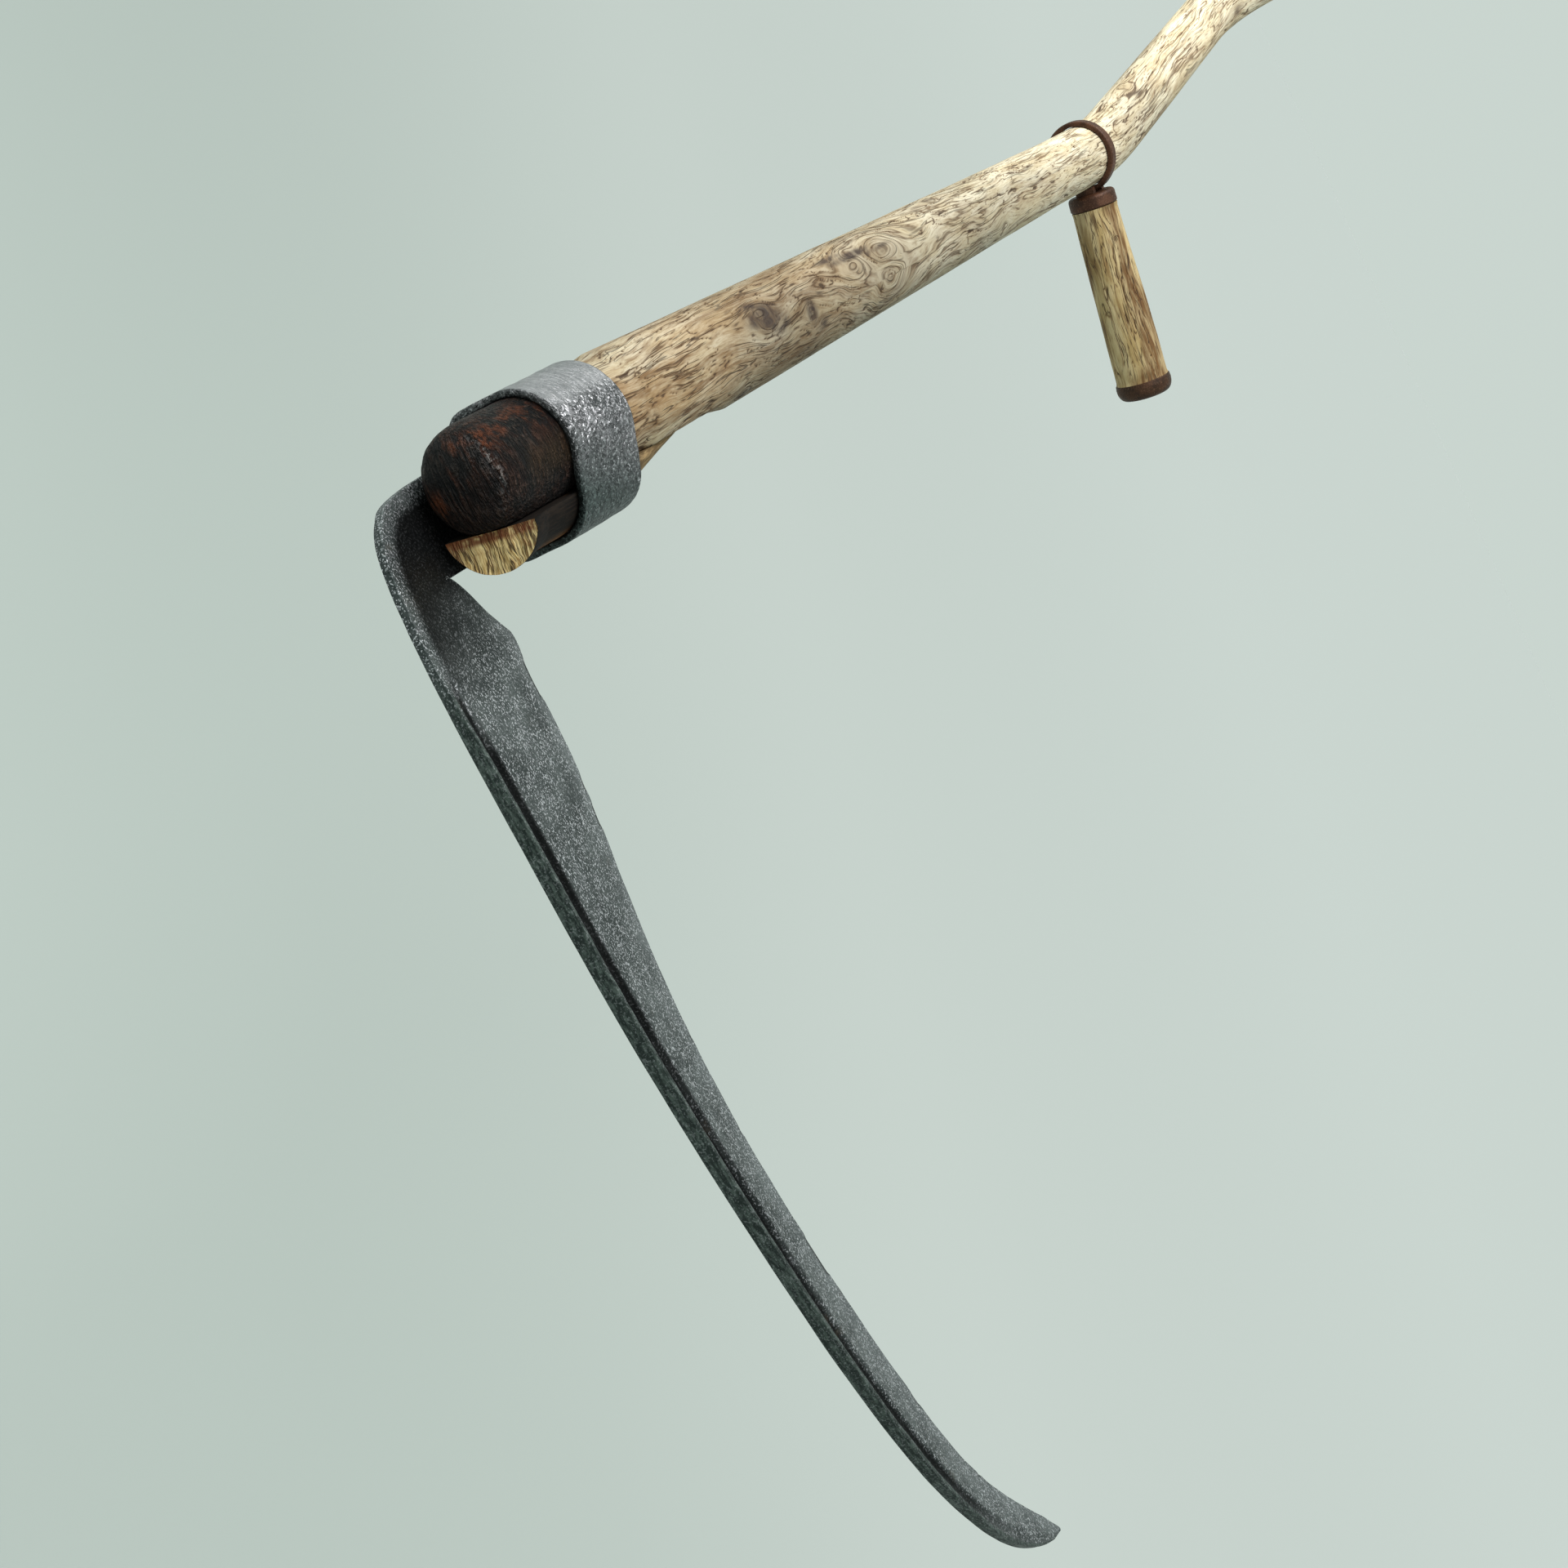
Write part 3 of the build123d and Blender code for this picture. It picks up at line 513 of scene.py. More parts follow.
# ---------------------------------------------------------------------------
# Snath: one turned and bent pole, built along its centre line
# ---------------------------------------------------------------------------
def path_frames(step_near, step_mid, step_far):
    """Stations along the pole: point, x direction, y direction, radius, distance."""
    leads = [KNEE_R[0] * math.tan(math.acos(np.clip(S.dot(D1), -1, 1)) / 2),
             KNEE_R[1] * math.tan(math.acos(np.clip(D1.dot(D2), -1, 1)) / 2),
             KNEE_R[2] * math.tan(math.acos(np.clip(D2.dot(D3), -1, 1)) / 2)]
    knees, dirs = (K1, K2, K3), (S, D1, D2, D3)
    segs = []
    p, x, y, d = C0.copy(), U.copy(), V.copy(), S.copy()
    a = 0.0
    for i in range(3):
        n = knees[i] - dirs[i] * leads[i]
        length = (n - p).dot(dirs[i])
        segs.append(("line", a, a + length, p.copy(), d.copy(), x.copy(), y.copy(), None))
        a += length
        ang = math.acos(np.clip(dirs[i].dot(dirs[i + 1]), -1, 1))
        axis = unit(np.cross(dirs[i], dirs[i + 1]))
        arc = KNEE_R[i] * ang
        segs.append(("arc", a, a + arc, n.copy(), d.copy(), x.copy(), y.copy(), (axis, KNEE_R[i])))
        rot = np.array(Matrix.Rotation(ang, 3, Vector(axis)))
        x, y, d = rot @ x, rot @ y, dirs[i + 1].copy()
        p = knees[i] + dirs[i + 1] * leads[i]
        a += arc
    length = (TOP - p).dot(D3)
    segs.append(("line", a, a + length, p.copy(), d.copy(), x.copy(), y.copy(), None))
    return segs, a + length


SEGS, PATH_END = path_frames(1, 1, 1)


def at(a):
    for kind, a0, a1, p, d, x, y, extra in SEGS:
        if a <= a1 or a1 == PATH_END:
            if kind == "line":
                return p + d * (a - a0), x, y
            axis, r = extra
            ang = (a - a0) / r
            rot = np.array(Matrix.Rotation(ang, 3, Vector(axis)))
            centre = p + np.cross(axis, d) * r
            return centre + rot @ (p - centre), rot @ x, rot @ y


A_K = [s[1] for s in SEGS] + [PATH_END]
FOOT = np.array([(-43.5, 0.0), (-43.4, 6.0), (-43.2, 11.0), (-42.8, 14.5), (-41.9, 17.5), (-40.4, 20.0), (-38.6, 21.4),
                 (-35.5, 22.4), (-31.0, 23.05), (-26.0, 23.3), (-17.0, 23.35)])


def pole_radius(a):
    k = np.array([-17.0, SEAT_END_A, SEAT_END_A + 3, SEAT_END_A + 10, NIB_SEAT_A, A_K[2], A_K[3], A_K[4], A_K[5],
                  A_K[6] + 50, PATH_END - TOP_LEN, PATH_END - 3.0, PATH_END])
    r = np.array([SEAT_R, SEAT_R, SEAT_R + 0.25, BUTT_R, NIB_R, NIB_R, POLE_R2, POLE_R2, POLE_R3, POLE_R3,
                  TOP_R, TOP_R, TOP_R - 2.4])
    return np.interp(a, k, r)


def knot_field(ax, rt, ak, tk, rk):
    """Streamline value of grain flowing round a knot of radius rk."""
    x, y = ax - ak, rt - tk
    rho = x * x * 0.55 + y * y
    return -y * rk * rk / (rho + (0.45 * rk) ** 2)


def build_snath():
    t = np.linspace(0, 1, 15)
    foot_a = np.interp(np.linspace(0, 1, 46), np.linspace(0, 1, len(FOOT)), FOOT[:, 0])
    foot_r = np.interp(np.linspace(0, 1, 46), np.linspace(0, 1, len(FOOT)), FOOT[:, 1])
    stations = [(a, r) for a, r in zip(foot_a[1:], foot_r[1:])]
    pos = -17.0
    while pos < PATH_END - 1.6:
        pos += 1.25 if pos < 690 else 2.2
        if pos < PATH_END - 3.4 or pos > PATH_END - 0.2:
            stations.append((pos, None))
    stations = [s for s in stations if s[0] < PATH_END - 3.3]
    stations += [(PATH_END - 3.0, None), (PATH_END - 2.0, None), (PATH_END - 1.0, None), (PATH_END - 0.3, None), (PATH_END, None)]
    a = np.array([s[0] for s in stations])
    r = np.array([s[1] if s[1] is not None else 0 for s in stations])
    r = np.where(r == 0, pole_radius(a), r)
    N = 208
    th = np.linspace(0, 2 * np.pi, N, endpoint=False)
    A, T = np.meshgrid(a, th, indexing="ij")
    R = np.repeat(r[:, None], N, 1)
    full = R.copy()
    # flats for the wedge and under the tang
    tf = -FLAT_TILT
    fd = np.interp(a, [-60, FLAT_END_A, FLAT_END_A + 26], [FLAT_DIST, FLAT_DIST, FLAT_DIST + 6])
    proj = R * np.cos(T - tf)
    on = proj > fd[:, None]
    R = np.where(on & (A < FLAT_END_A + 26), fd[:, None] / np.maximum(np.cos(T - tf), 0.2), R)
    ud = np.interp(a, [-60, 68, 76], [SEAT_R - 0.06, SEAT_R - 0.06, SEAT_R + 5])
    proj = -R * np.sin(T)
    R = np.where((proj > ud[:, None]) & (A < 76), ud[:, None] / np.maximum(-np.sin(T), 0.2), R)
    # grain flow, with knots turned out of the way
    arc = full.clip(8) * T
    deg = np.radians
    psi = np.zeros_like(A)
    for ak, tk, rk, amp in ((172, deg(99), 13.0, 0.35), (213, deg(78), 9.0, 0.35), (272, deg(116), 12.0, 0.30),
                            (300, deg(88), 30.0, 0.45), (150, deg(20), 9.0, 0.35), (392, deg(150), 10.0, 0.35),
                            (455, deg(40), 11.0, 0.35), (700, deg(150), 12.0, 0.3), (860, deg(20), 12.0, 0.3),
                            (520, deg(-90), 14.0, 0.5), (240, deg(-110), 16.0, 0.5), (1000, deg(100), 12.0, 0.5)):
        psi += amp * knot_field(A, full * ((T - tk + np.pi) % (2 * np.pi) - np.pi), ak, 0.0, rk)
    wig = (fbm(np.column_stack([np.cos(T).ravel() * 1.1, np.sin(T).ravel() * 1.1, A.ravel() / 55.0]), 3, 5) - 0.5).reshape(A.shape)
    T2 = T + (psi + 11.0 * wig) / full.clip(12)
    F = np.stack([full * np.cos(T2), full * np.sin(T2), A], -1)
    pf = F.reshape(-1, 3)
    # modelled cracks: short, wavy, along the grain
    n1 = vnoise(pf * np.array([0.36, 0.36, 0.036]) + 3.1, 11) * 0.70 + vnoise(pf * np.array([0.8, 0.8, 0.11]) + 7.7, 12) * 0.30
    gate = fbm(pf * np.array([0.21, 0.21, 0.060]) + 1.7, 2, 21)
    crack = (1 - smooth(0.0, 0.045, np.abs(n1 - 0.5))) * smooth(0.44, 0.54, gate)
    n2 = vnoise(pf * np.array([0.30, 0.30, 0.030]) + 9.1, 31)
    gate2 = fbm(pf * np.array([0.12, 0.12, 0.018]) + 5.7, 2, 41)
    crack2 = (1 - smooth(0.0, 0.026, np.abs(n2 - 0.5))) * smooth(0.48, 0.58, gate2)
    crack = np.maximum(crack, crack2).reshape(A.shape)
    # knots' dark stains
    knot = np.zeros_like(A)
    for ak, tk, sa, st, amp in ((171, 99, 15, 7.5, 1.0), (181, 84, 11, 5.5, 0.9), (166, 116, 9, 3.0, 0.8), (213, 78, 5.0, 7.0, 0.95), (222, 60, 6, 4, 0.7), (272, 119, 22, 2.6, 1.0),
                                (256, 128, 14, 2.4, 0.8), (300, 112, 14, 1.8, 0.8), (150, 20, 8, 5, 0.7), (392, 150, 7, 4, 0.6), (520, -90, 10, 6, 0.8),
                                (240, -110, 12, 6, 0.8), (700, 120, 6, 4, 0.5), (860, 60, 8, 5, 0.6), (1000, 100, 8, 5, 0.6)):
        dt = full * ((T - math.radians(tk) + np.pi) % (2 * np.pi) - np.pi)
        knot = np.maximum(knot, amp * np.exp(-((A - ak) / sa) ** 2 - (dt / st) ** 2))
    # radial relief: gentle hand-shaved unevenness, then the cracks
    und = fbm(pf * np.array([0.035, 0.035, 0.012]) + 2.2, 3, 51).reshape(A.shape)
    rip = fbm(pf * np.array([0.16, 0.16, 0.018]) + 4.2, 2, 61).reshape(A.shape)
    body = smooth(-20, 60, A)
    nibz = np.exp(-((A - NIB_A) / 30.0) ** 2)
    inward = 0.38 * und * body * (1 - 0.7 * nibz) + 0.30 * rip * body + 0.42 * crack * smooth(50, 70, A)
    inward += 0.35 * knot * body
    wrk = vnoise(np.column_stack([(R * np.cos(T)).ravel() * 0.06, (R * np.sin(T)).ravel() * 0.85, A.ravel() * 0.30]), 71).reshape(A.shape)
    inward += (0.32 * wrk) * (1 - smooth(-2, 4, A)) * smooth(2.0, 9.0, full)
    Rn = R - inward
    X, Y = Rn * np.cos(T), Rn * np.sin(T)
    # blind pocket for the tang's knob
    hole = ((A - KNOB_A) ** 2 + (X - KNOB_U) ** 2 < 6.2 ** 2) & (Y < -12)
    Y = np.where(hole, Y + KNOB_H + 2.5, Y)
    verts = np.zeros(A.shape + (3,))
    # lit: how far each point faces up in the picture, used below to paint light onto the pole
    lit = np.zeros(A.shape)
    for i, s in enumerate(a):
        p, x, y = at(s)
        lit[i] = np.cos(T[i]) * (x @ VIEW_UP) + np.sin(T[i]) * (y @ VIEW_UP)
        verts[i] = p + X[i][:, None] * x + Y[i][:, None] * y
    tan = 0.12 + 0.75 * (1 - smooth(60, 450, A)) + 0.08 * smooth(640, 760, A)
    tan = tan * (0.65 + 0.7 * fbm(pf * np.array([0.030, 0.030, 0.010]) + 8.8, 3, 81).reshape(A.shape))
    edge_n = fbm(pf * 0.18, 3, 91).reshape(A.shape) - 0.5
    char = 1 - smooth(8.0, 24.0, A + 10 * edge_n)
    # warm patches on the charred end, an olive one beside the wedge
    xx, yy = full * np.cos(T), full * np.sin(T)

    def spot(x0, y0, sx, sy):
        return np.exp(-((xx - x0) / sx) ** 2 - ((yy - y0) / sy) ** 2)
    ember = np.clip(spot(-11, 15, 6.5, 5.5) + 0.95 * spot(-3, 0, 5, 6.5) + 1.15 * spot(4, -15, 5.5, 5.5) + 0.8 * spot(-15, 3, 4, 7) + 0.10, 0, 1)
    olive = np.clip(0.7 * spot(5, 22, 8, 7) * smooth(-32, -22, A), 0, 1)
    # painted highlight: a glint along the upper ridge of the charred foot
    painted_glint = np.exp(-((xx + 3) / 13.0) ** 2) * np.exp(-((full - 19.6) / 1.1) ** 2) * smooth(4, 12, yy) * (A < -30) * 0.42
    # painted light: besides a tone that changes along the pole, the side facing up in the picture is made lighter, and
    # the side facing down a little lighter
    tone_and_painted_light = np.interp(A, [50, 110, 160, 200, 260, 340, 450, 560, 650, 800], [0.76, 0.70, 0.50, 0.47, 0.50, 0.56, 0.68, 0.82, 0.93, 1.13])
    tone_and_painted_light = tone_and_painted_light * (1 + 0.42 * smooth(0.30, 0.92, lit) * smooth(40, 190, A) + 0.14 * smooth(-0.35, -0.90, lit))
    tone_and_painted_light = tone_and_painted_light * (0.80 + 0.42 * fbm(pf * np.array([0.05, 0.05, 0.016]) + 6.1, 3, 85).reshape(A.shape))
    verts = verts.reshape(-1, 3)
    n0 = len(verts)
    foot_c = C0 + S * (FOOT[0, 0] + 0.15)
    verts = np.vstack([verts, foot_c, TOP])
    faces = grid_faces(len(a), N)
    faces += [(n0, (j + 1) % N, j) for j in range(N)]
    last = (len(a) - 1) * N
    faces += [(n0 + 1, last + j, last + (j + 1) % N) for j in range(N)]

    def ext(v, e0, e1):
        v = v.reshape(n0, -1) if v.ndim == 3 else v.reshape(n0, 1)
        v = np.vstack([v, np.atleast_2d(e0), np.atleast_2d(e1)])
        return v if v.shape[1] > 1 else v[:, 0]
    loc = np.stack([X, Y, A], -1)
    attrs = {"flow": ext(F, [0, 0, FOOT[0, 0]], [0, 0, PATH_END]) * 0.001, "loc": ext(loc, [0, 0, FOOT[0, 0]], [0, 0, PATH_END]) * 0.001,
             "crack": ext(crack, [0.0], [0.0]), "knot": ext(knot, [0.0], [0.0]), "char": ext(char, [1.0], [0.0]),
             "tone_and_painted_light": ext(tone_and_painted_light, [0.8], [0.9]), "painted_glint": ext(painted_glint, [0.0], [0.0]), "tan": ext(tan, [0.5], [0.4]), "ember": ext(ember, [0.2], [0.0]),
             "olive": ext(olive, [0.0], [0.0])}
    return make("snath_pole", verts, faces, attrs, "snath", "snath", [M_SNATH], sharp=50)


snath_pole = build_snath()


# ---------------------------------------------------------------------------
# Blade: one forging, from the tip along the web, round the neck and up the tang
# ---------------------------------------------------------------------------
HC, UC = C0.dot(H), C0.dot(U)
BOT = C0[2] + (TANG_TOP - TANG_T) * math.cos(LIFT)
BOT_H = HC - (TANG_TOP - TANG_T) * math.sin(LIFT)
VERT_H = BOT_H - BOT / math.tan(LIFT)
END_H = BOT_H + TANG_END_A * math.cos(LIFT)
B0 = VERT_H - BEND_R * math.tan(LIFT / 2)


def plate_z(h, off):
    """Height of the bent strip's face that lies off above its underside."""
    r = BEND_R - off
    x = np.maximum(h - B0, 0)
    xs = r * math.sin(LIFT)
    z_arc = BEND_R - np.sqrt(np.maximum(r * r - np.minimum(x, xs) ** 2, 0))
    z_end = BEND_R - r * math.cos(LIFT)
    return np.where(x < xs, z_arc, z_end + (x - xs) * math.tan(LIFT))


def plan(u, h):
    p = U * (UC + u) + H * h
    return p[:2]


def curve_through(pts, n):
    """Catmull-Rom through the points, sampled evenly by length."""
    pts = np.array(pts, float)
    ext = np.vstack([2 * pts[0] - pts[1], pts, 2 * pts[-1] - pts[-2]])
    out = []
    for i in range(1, len(ext) - 2):
        p0, p1, p2, p3 = ext[i - 1:i + 3]
        t = np.linspace(0, 1, 30, endpoint=False)[:, None]
        out.append(0.5 * ((2 * p1) + (p2 - p0) * t + (2 * p0 - 5 * p1 + 4 * p2 - p3) * t ** 2 + (3 * p1 - p0 - 3 * p2 + p3) * t ** 3))
    out = np.vstack(out + [pts[-1:]])
    d = np.concatenate([[0], np.cumsum(np.linalg.norm(np.diff(out, axis=0), axis=1))])
    s = np.linspace(0, d[-1], n)
    return np.column_stack([np.interp(s, d, out[:, k]) for k in range(2)])


def profile(w, rib, groove, hollow, edge_t, web_z, flatness):
    """(distance from the back edge, height) round the section; flatness 1 is a plain plate."""
    k = np.minimum(1.0, w / 26.0)
    lip = rib - 0.35 * k * (1 - flatness)
    web_d = w - np.minimum(10.0, 0.3 * w)
    P = [(0 * w, 0 * w), (0 * w, rib - 0.7 * k), (0.7 * k, rib), (2.6 * k, rib), (4.6 * k, rib - groove), (7.4 * k, rib - groove),
         (9.2 * k, lip), (web_d, web_z), (w, edge_t), (w, 0 * w), (9.2 * k, hollow), (4.3 * k, hollow * 0.85), (3.4 * k, 0 * w)]
    return P


SEG_N = [6, 2, 4, 5, 4, 5, 34, 10, 2, 26, 6, 2, 4]


def build_blade():
    # rows: from the tip to the notch
    xs = np.concatenate([np.linspace(-547.6, -540.5, 8, endpoint=False), np.linspace(-540.5, -4.0, 450)])
    tab = BLADE[::-1]
    cols = [np.interp(xs, tab[:, 0], tab[:, i]) for i in range(1, 6)]

    def relax(v, n):
        v = v.copy()
        for _ in range(n):
            v[1:-1] = 0.25 * v[:-2] + 0.5 * v[1:-1] + 0.25 * v[2:]
        return v
    beard = np.exp(-((xs + 48) / 9.0) ** 2)
    yo = relax(cols[0], 60)
    yi0 = relax(cols[1], 40)
    yi = cols[1] * beard + yi0 * (1 - beard)
    yi = relax(yi, 3)
    rib, groove, hollow = (relax(c, 40) for c in cols[2:])
    O = np.column_stack([xs, yo])
    I = np.column_stack([xs, yi])
    flat = np.zeros(len(xs))
    # rows: round the neck, the inner ends gathered at the notch
    nt = 72
    outer = curve_through([(-4.0, 18.3), (12.0, 11.3), (24.8, 2.2), (31.4, -8.8), (33.4, -23.5), plan(TANG_U0, 58)], nt + 1)[1:]
    notch = np.array([-5.6, -24.5])
    tend = plan(TANG_U1, 58)
    q = np.linspace(0, 1, nt + 1)[1:, None]
    inner = notch + (tend - notch) * q ** 1.4
    O = np.vstack([O, outer])
    I = np.vstack([I, inner])
    # rows: up the tang
    hs = np.linspace(58, END_H, 60)[1:]
    left = END_H - hs
    inset = np.where(left < 8, 8 - np.sqrt(np.maximum(64 - (8 - left) ** 2, 0)), 0)
    O = np.vstack([O, [plan(TANG_U0 + c, h) for h, c in zip(hs, inset)]])
    I = np.vstack([I, [plan(TANG_U1 - c, h) for h, c in zip(hs, inset)]])
    n_blade, n = len(xs), len(O)
    pad = n - n_blade
    rib = np.concatenate([rib, np.full(pad, TANG_T)])
    groove = np.concatenate([groove, np.zeros(pad)])
    hollow = np.concatenate([hollow, np.full(pad, 0.0)])
    # let the plate run smoothly into the rib and the web
    f = smooth(-62, -8, np.concatenate([xs, np.full(pad, 0.0)]))
    flatv = smooth(-34, -5, np.concatenate([xs, np.full(pad, 0.0)]))
    rib = rib * (1 - flatv) + TANG_T * flatv
    groove = groove * (1 - flatv)
    hollow = hollow * (1 - f)
    w = np.linalg.norm(I - O, axis=1)
    k = np.minimum(1, w / 26.0)
    lip = rib - 0.35 * k * (1 - flatv)
    web_z = np.minimum(2.5, 0.9 + 0.55 * (lip - 0.9)) * (1 - flatv) + TANG_T * flatv
    edge_t = 0.75 * (1 - flatv) + TANG_T * flatv
    P = profile(w, rib, groove, hollow, edge_t, web_z, flatv)
    D, Z, tags = [], [], []
    for s in range(13):
        (d0, z0), (d1, z1) = P[s], P[(s + 1) % 13]
        for j in range(SEG_N[s]):
            u = j / SEG_N[s]
            D.append(d0 + (d1 - d0) * u)
            Z.append(z0 + (z1 - z0) * u)
            tags.append((s, u))
    D, Z = np.array(D).T, np.array(Z).T              # rows x loop
    M = D.shape[1]
    starts = np.cumsum([0] + SEG_N)
    # round the ridge, groove and lip a little, leave the edges
    keep = np.zeros(M, bool)
    for s in (0, 8, 9):
        keep[starts[s]] = True
    for _ in range(2):
        D2 = 0.25 * np.roll(D, 1, 1) + 0.5 * D + 0.25 * np.roll(D, -1, 1)
        Z2 = 0.25 * np.roll(Z, 1, 1) + 0.5 * Z + 0.25 * np.roll(Z, -1, 1)
        D, Z = np.where(keep, D, D2), np.where(keep, Z, Z2)
    e = (I - O) / w[:, None]
    # the cutting edge: uneven from peening, with a few nicks
    xr = O[:, 0]
    on_blade = 1 - smooth(-40, -12, np.where(np.arange(n) < n_blade, xr, 0))
    wav = (fbm(np.column_stack([xr * 0.09, xr * 0, xr * 0]), 3, 7) - 0.5) * 0.9
    nick = np.zeros(n)
    for x0, x1, dep in ((-72, -56, 0.9), (-112, -106, 0.8), (-126, -117, 0.9), (-331, -310, 0.8), (-212, -208, 0.6), (-256, -253, 0.5),
                        (-413, -405, 0.5), (-470, -467, 0.5)):
        c = smooth(x0 - 1.5, x0 + 1.5, xr) * (1 - smooth(x1 - 1.5, x1 + 1.5, xr))
        nick = np.maximum(nick, c * dep)
    cut = (np.clip(wav, -0.4, 0.4) + 0.4 + nick) * on_blade * (np.arange(n) < n_blade)
    near = smooth(8.0, 0.0, w[:, None] - D)
    D = D - near * cut[:, None]
    X = O[:, None, 0] + e[:, None, 0] * D
    Y = O[:, None, 1] + e[:, None, 1] * D
    hcoord = X * H[0] + Y * H[1]
    lift0 = plate_z(hcoord, 0.0)
    neckrow = smooth(-14.0, 2.0, np.where(np.arange(n) < n_blade, xr, 5.0))[:, None]
    off = Z.copy()
    zb = plate_z(hcoord, 0.0) + (plate_z(hcoord, TANG_T) - plate_z(hcoord, 0.0)) * np.clip(Z / TANG_T, 0, 1.6)
    Zw = np.where(hcoord > B0, zb, Z)
    Zw = Z * (1 - neckrow) + Zw * neckrow
    # hammer undulation, only ever downward, on top
    pts = np.column_stack([X.ravel(), Y.ravel(), Zw.ravel()])
    und = fbm(pts * np.array([0.075, 0.075, 0.05]), 3, 15).reshape(X.shape)
    und2 = vnoise(pts * np.array([0.22, 0.22, 0.1]), 18).reshape(X.shape)
    tag_s = np.array([s for s, _ in tags])
    top = np.isin(tag_s, [2, 3, 4, 5, 6, 7])
    ends = np.zeros(n)
    relief = np.where(top[None, :], -(0.34 * und + 0.12 * und2), 0.0)
    thick = smooth(0.3, 3.0, Z)
    Zw = Zw + relief * thick
    side = np.isin(tag_s, [0])
    wavo = (fbm(np.column_stack([pts[:, 0] * 0.05, pts[:, 1] * 0.05, pts[:, 2] * 0.3]), 3, 25).reshape(X.shape)) * 0.5
    shift = np.where(side[None, :], wavo, 0)
    X = X + e[:, None, 0] * shift
    Y = Y + e[:, None, 1] * shift
    verts = np.stack([X, Y, Zw], -1).reshape(-1, 3)
    faces = grid_faces(n, M)
    # end caps: fans from a centre point
    half = M // 2

    def cap(base):
        # fan from a centre point
        return [base + j for j in range(M)]
    c0 = verts[:M].mean(0)
    c1 = verts[(n - 1) * M:].mean(0)
    n0 = len(verts)
    verts = np.vstack([verts, c0, c1])
    faces += [(n0, (j + 1) % M, j) for j in range(M)]
    b = (n - 1) * M
    faces += [(n0 + 1, b + j, b + (j + 1) % M) for j in range(M)]
    # masks
    # groove mask: painted shade along the groove behind the rib
    isg = np.isin(tag_s, [3, 4])[None, :] * np.ones((n, 1))
    groove_shade_mask = isg * smooth(0.5, 1.6, groove)[:, None] * smooth(-548, -500, np.where(np.arange(n) < n_blade, xr, 0))[:, None]
    g5 = (tag_s == 5)[None, :] * (1 - np.array([u for _, u in tags]))[None, :]
    groove_shade_mask = np.maximum(groove_shade_mask, g5 * smooth(0.5, 1.6, groove)[:, None])
    # wall mask: painted shade on the rib's outer wall
    rib_wall_shade = np.isin(tag_s, [0, 1, 2])[None, :] * np.ones((n, 1)) * (np.arange(n) < n_blade)[:, None] * smooth(-8, -50, xr)[:, None]
    run = smooth(-440, -140, xr) * (1 - smooth(-62, -30, xr)) * (np.arange(n) < n_blade)
    groove_shade_mask = np.maximum(groove_shade_mask, smooth(11.4, 9.0, D) * smooth(3.8, 4.8, D) * np.isin(tag_s, [3, 4, 5, 6])[None, :] * run[:, None])
    edge = smooth(20.0, 1.0, w[:, None] - D) * np.isin(tag_s, [6, 7])[None, :] * on_blade[:, None]
    # neck mask: painted shade on the inner face of the neck, fading out along the web
    rowpos = np.where(np.arange(n) < n_blade, xr, 0.0)
    inside = smooth(3.0, 11.0, D)
    neck_shade_mask = smooth(-52, -14, rowpos)[:, None] * inside * np.isin(tag_s, [4, 5, 6, 7, 3, 2])[None, :]
    fade = smooth(0.15, 0.95, D / w[:, None])
    neck_shade_mask = neck_shade_mask * (1 - 0.35 * fade * (1 - smooth(-20, 0, np.where(np.arange(n) < n_blade, xr, 20))[:, None]))
    sl = np.maximum(nick / 0.9, 0)[:, None] * smooth(2.6, 0.6, w[:, None] - D - cut[:, None]) * on_blade[:, None]
    ex = lambda v: np.concatenate([np.asarray(v, float).ravel(), [0.0, 0.0]])
    attrs = {"groove": ex(groove_shade_mask), "rib_wall_shade": ex(rib_wall_shade), "edge": ex(edge), "neck_shade": ex(neck_shade_mask), "sliver": ex(np.clip(sl, 0, 1))}
    # the knob on the tang
    kv, kf = [], []
    kc = C0 + S * KNOB_A + U * KNOB_U
    prof = [(0.0, TANG_TOP - 1.2), (KNOB_R, TANG_TOP - 1.2), (KNOB_R, TANG_TOP + KNOB_H - 1.2), (KNOB_R - 0.4, TANG_TOP + KNOB_H - 0.35),
            (KNOB_R - 1.3, TANG_TOP + KNOB_H), (0.0, TANG_TOP + KNOB_H)]
    nk_ = 40
    base = len(verts)
    kv.append(kc + V * prof[0][1])
    for rr, vv in prof[1:-1]:
        for j in range(nk_):
            an = 2 * math.pi * j / nk_
            kv.append(kc + V * vv + (U * math.cos(an) + S * math.sin(an)) * rr)
    kv.append(kc + V * prof[-1][1])
    for j in range(nk_):
        jj = (j + 1) % nk_
        kf.append((base, base + 1 + jj, base + 1 + j))
        for i in range(3):
            kf.append((base + 1 + i * nk_ + j, base + 1 + i * nk_ + jj, base + 1 + (i + 1) * nk_ + jj, base + 1 + (i + 1) * nk_ + j))
        kf.append((base + 1 + 4 * nk_, base + 1 + 3 * nk_ + j, base + 1 + 3 * nk_ + jj))
    verts = np.vstack([verts, kv])
    faces += kf
    for key in attrs:
        attrs[key] = np.concatenate([attrs[key], np.zeros(len(kv))])
    return make("scythe_blade", verts, faces, attrs, "blade", "blade", [M_BLADE], sharp=42)


scythe_blade = build_blade()


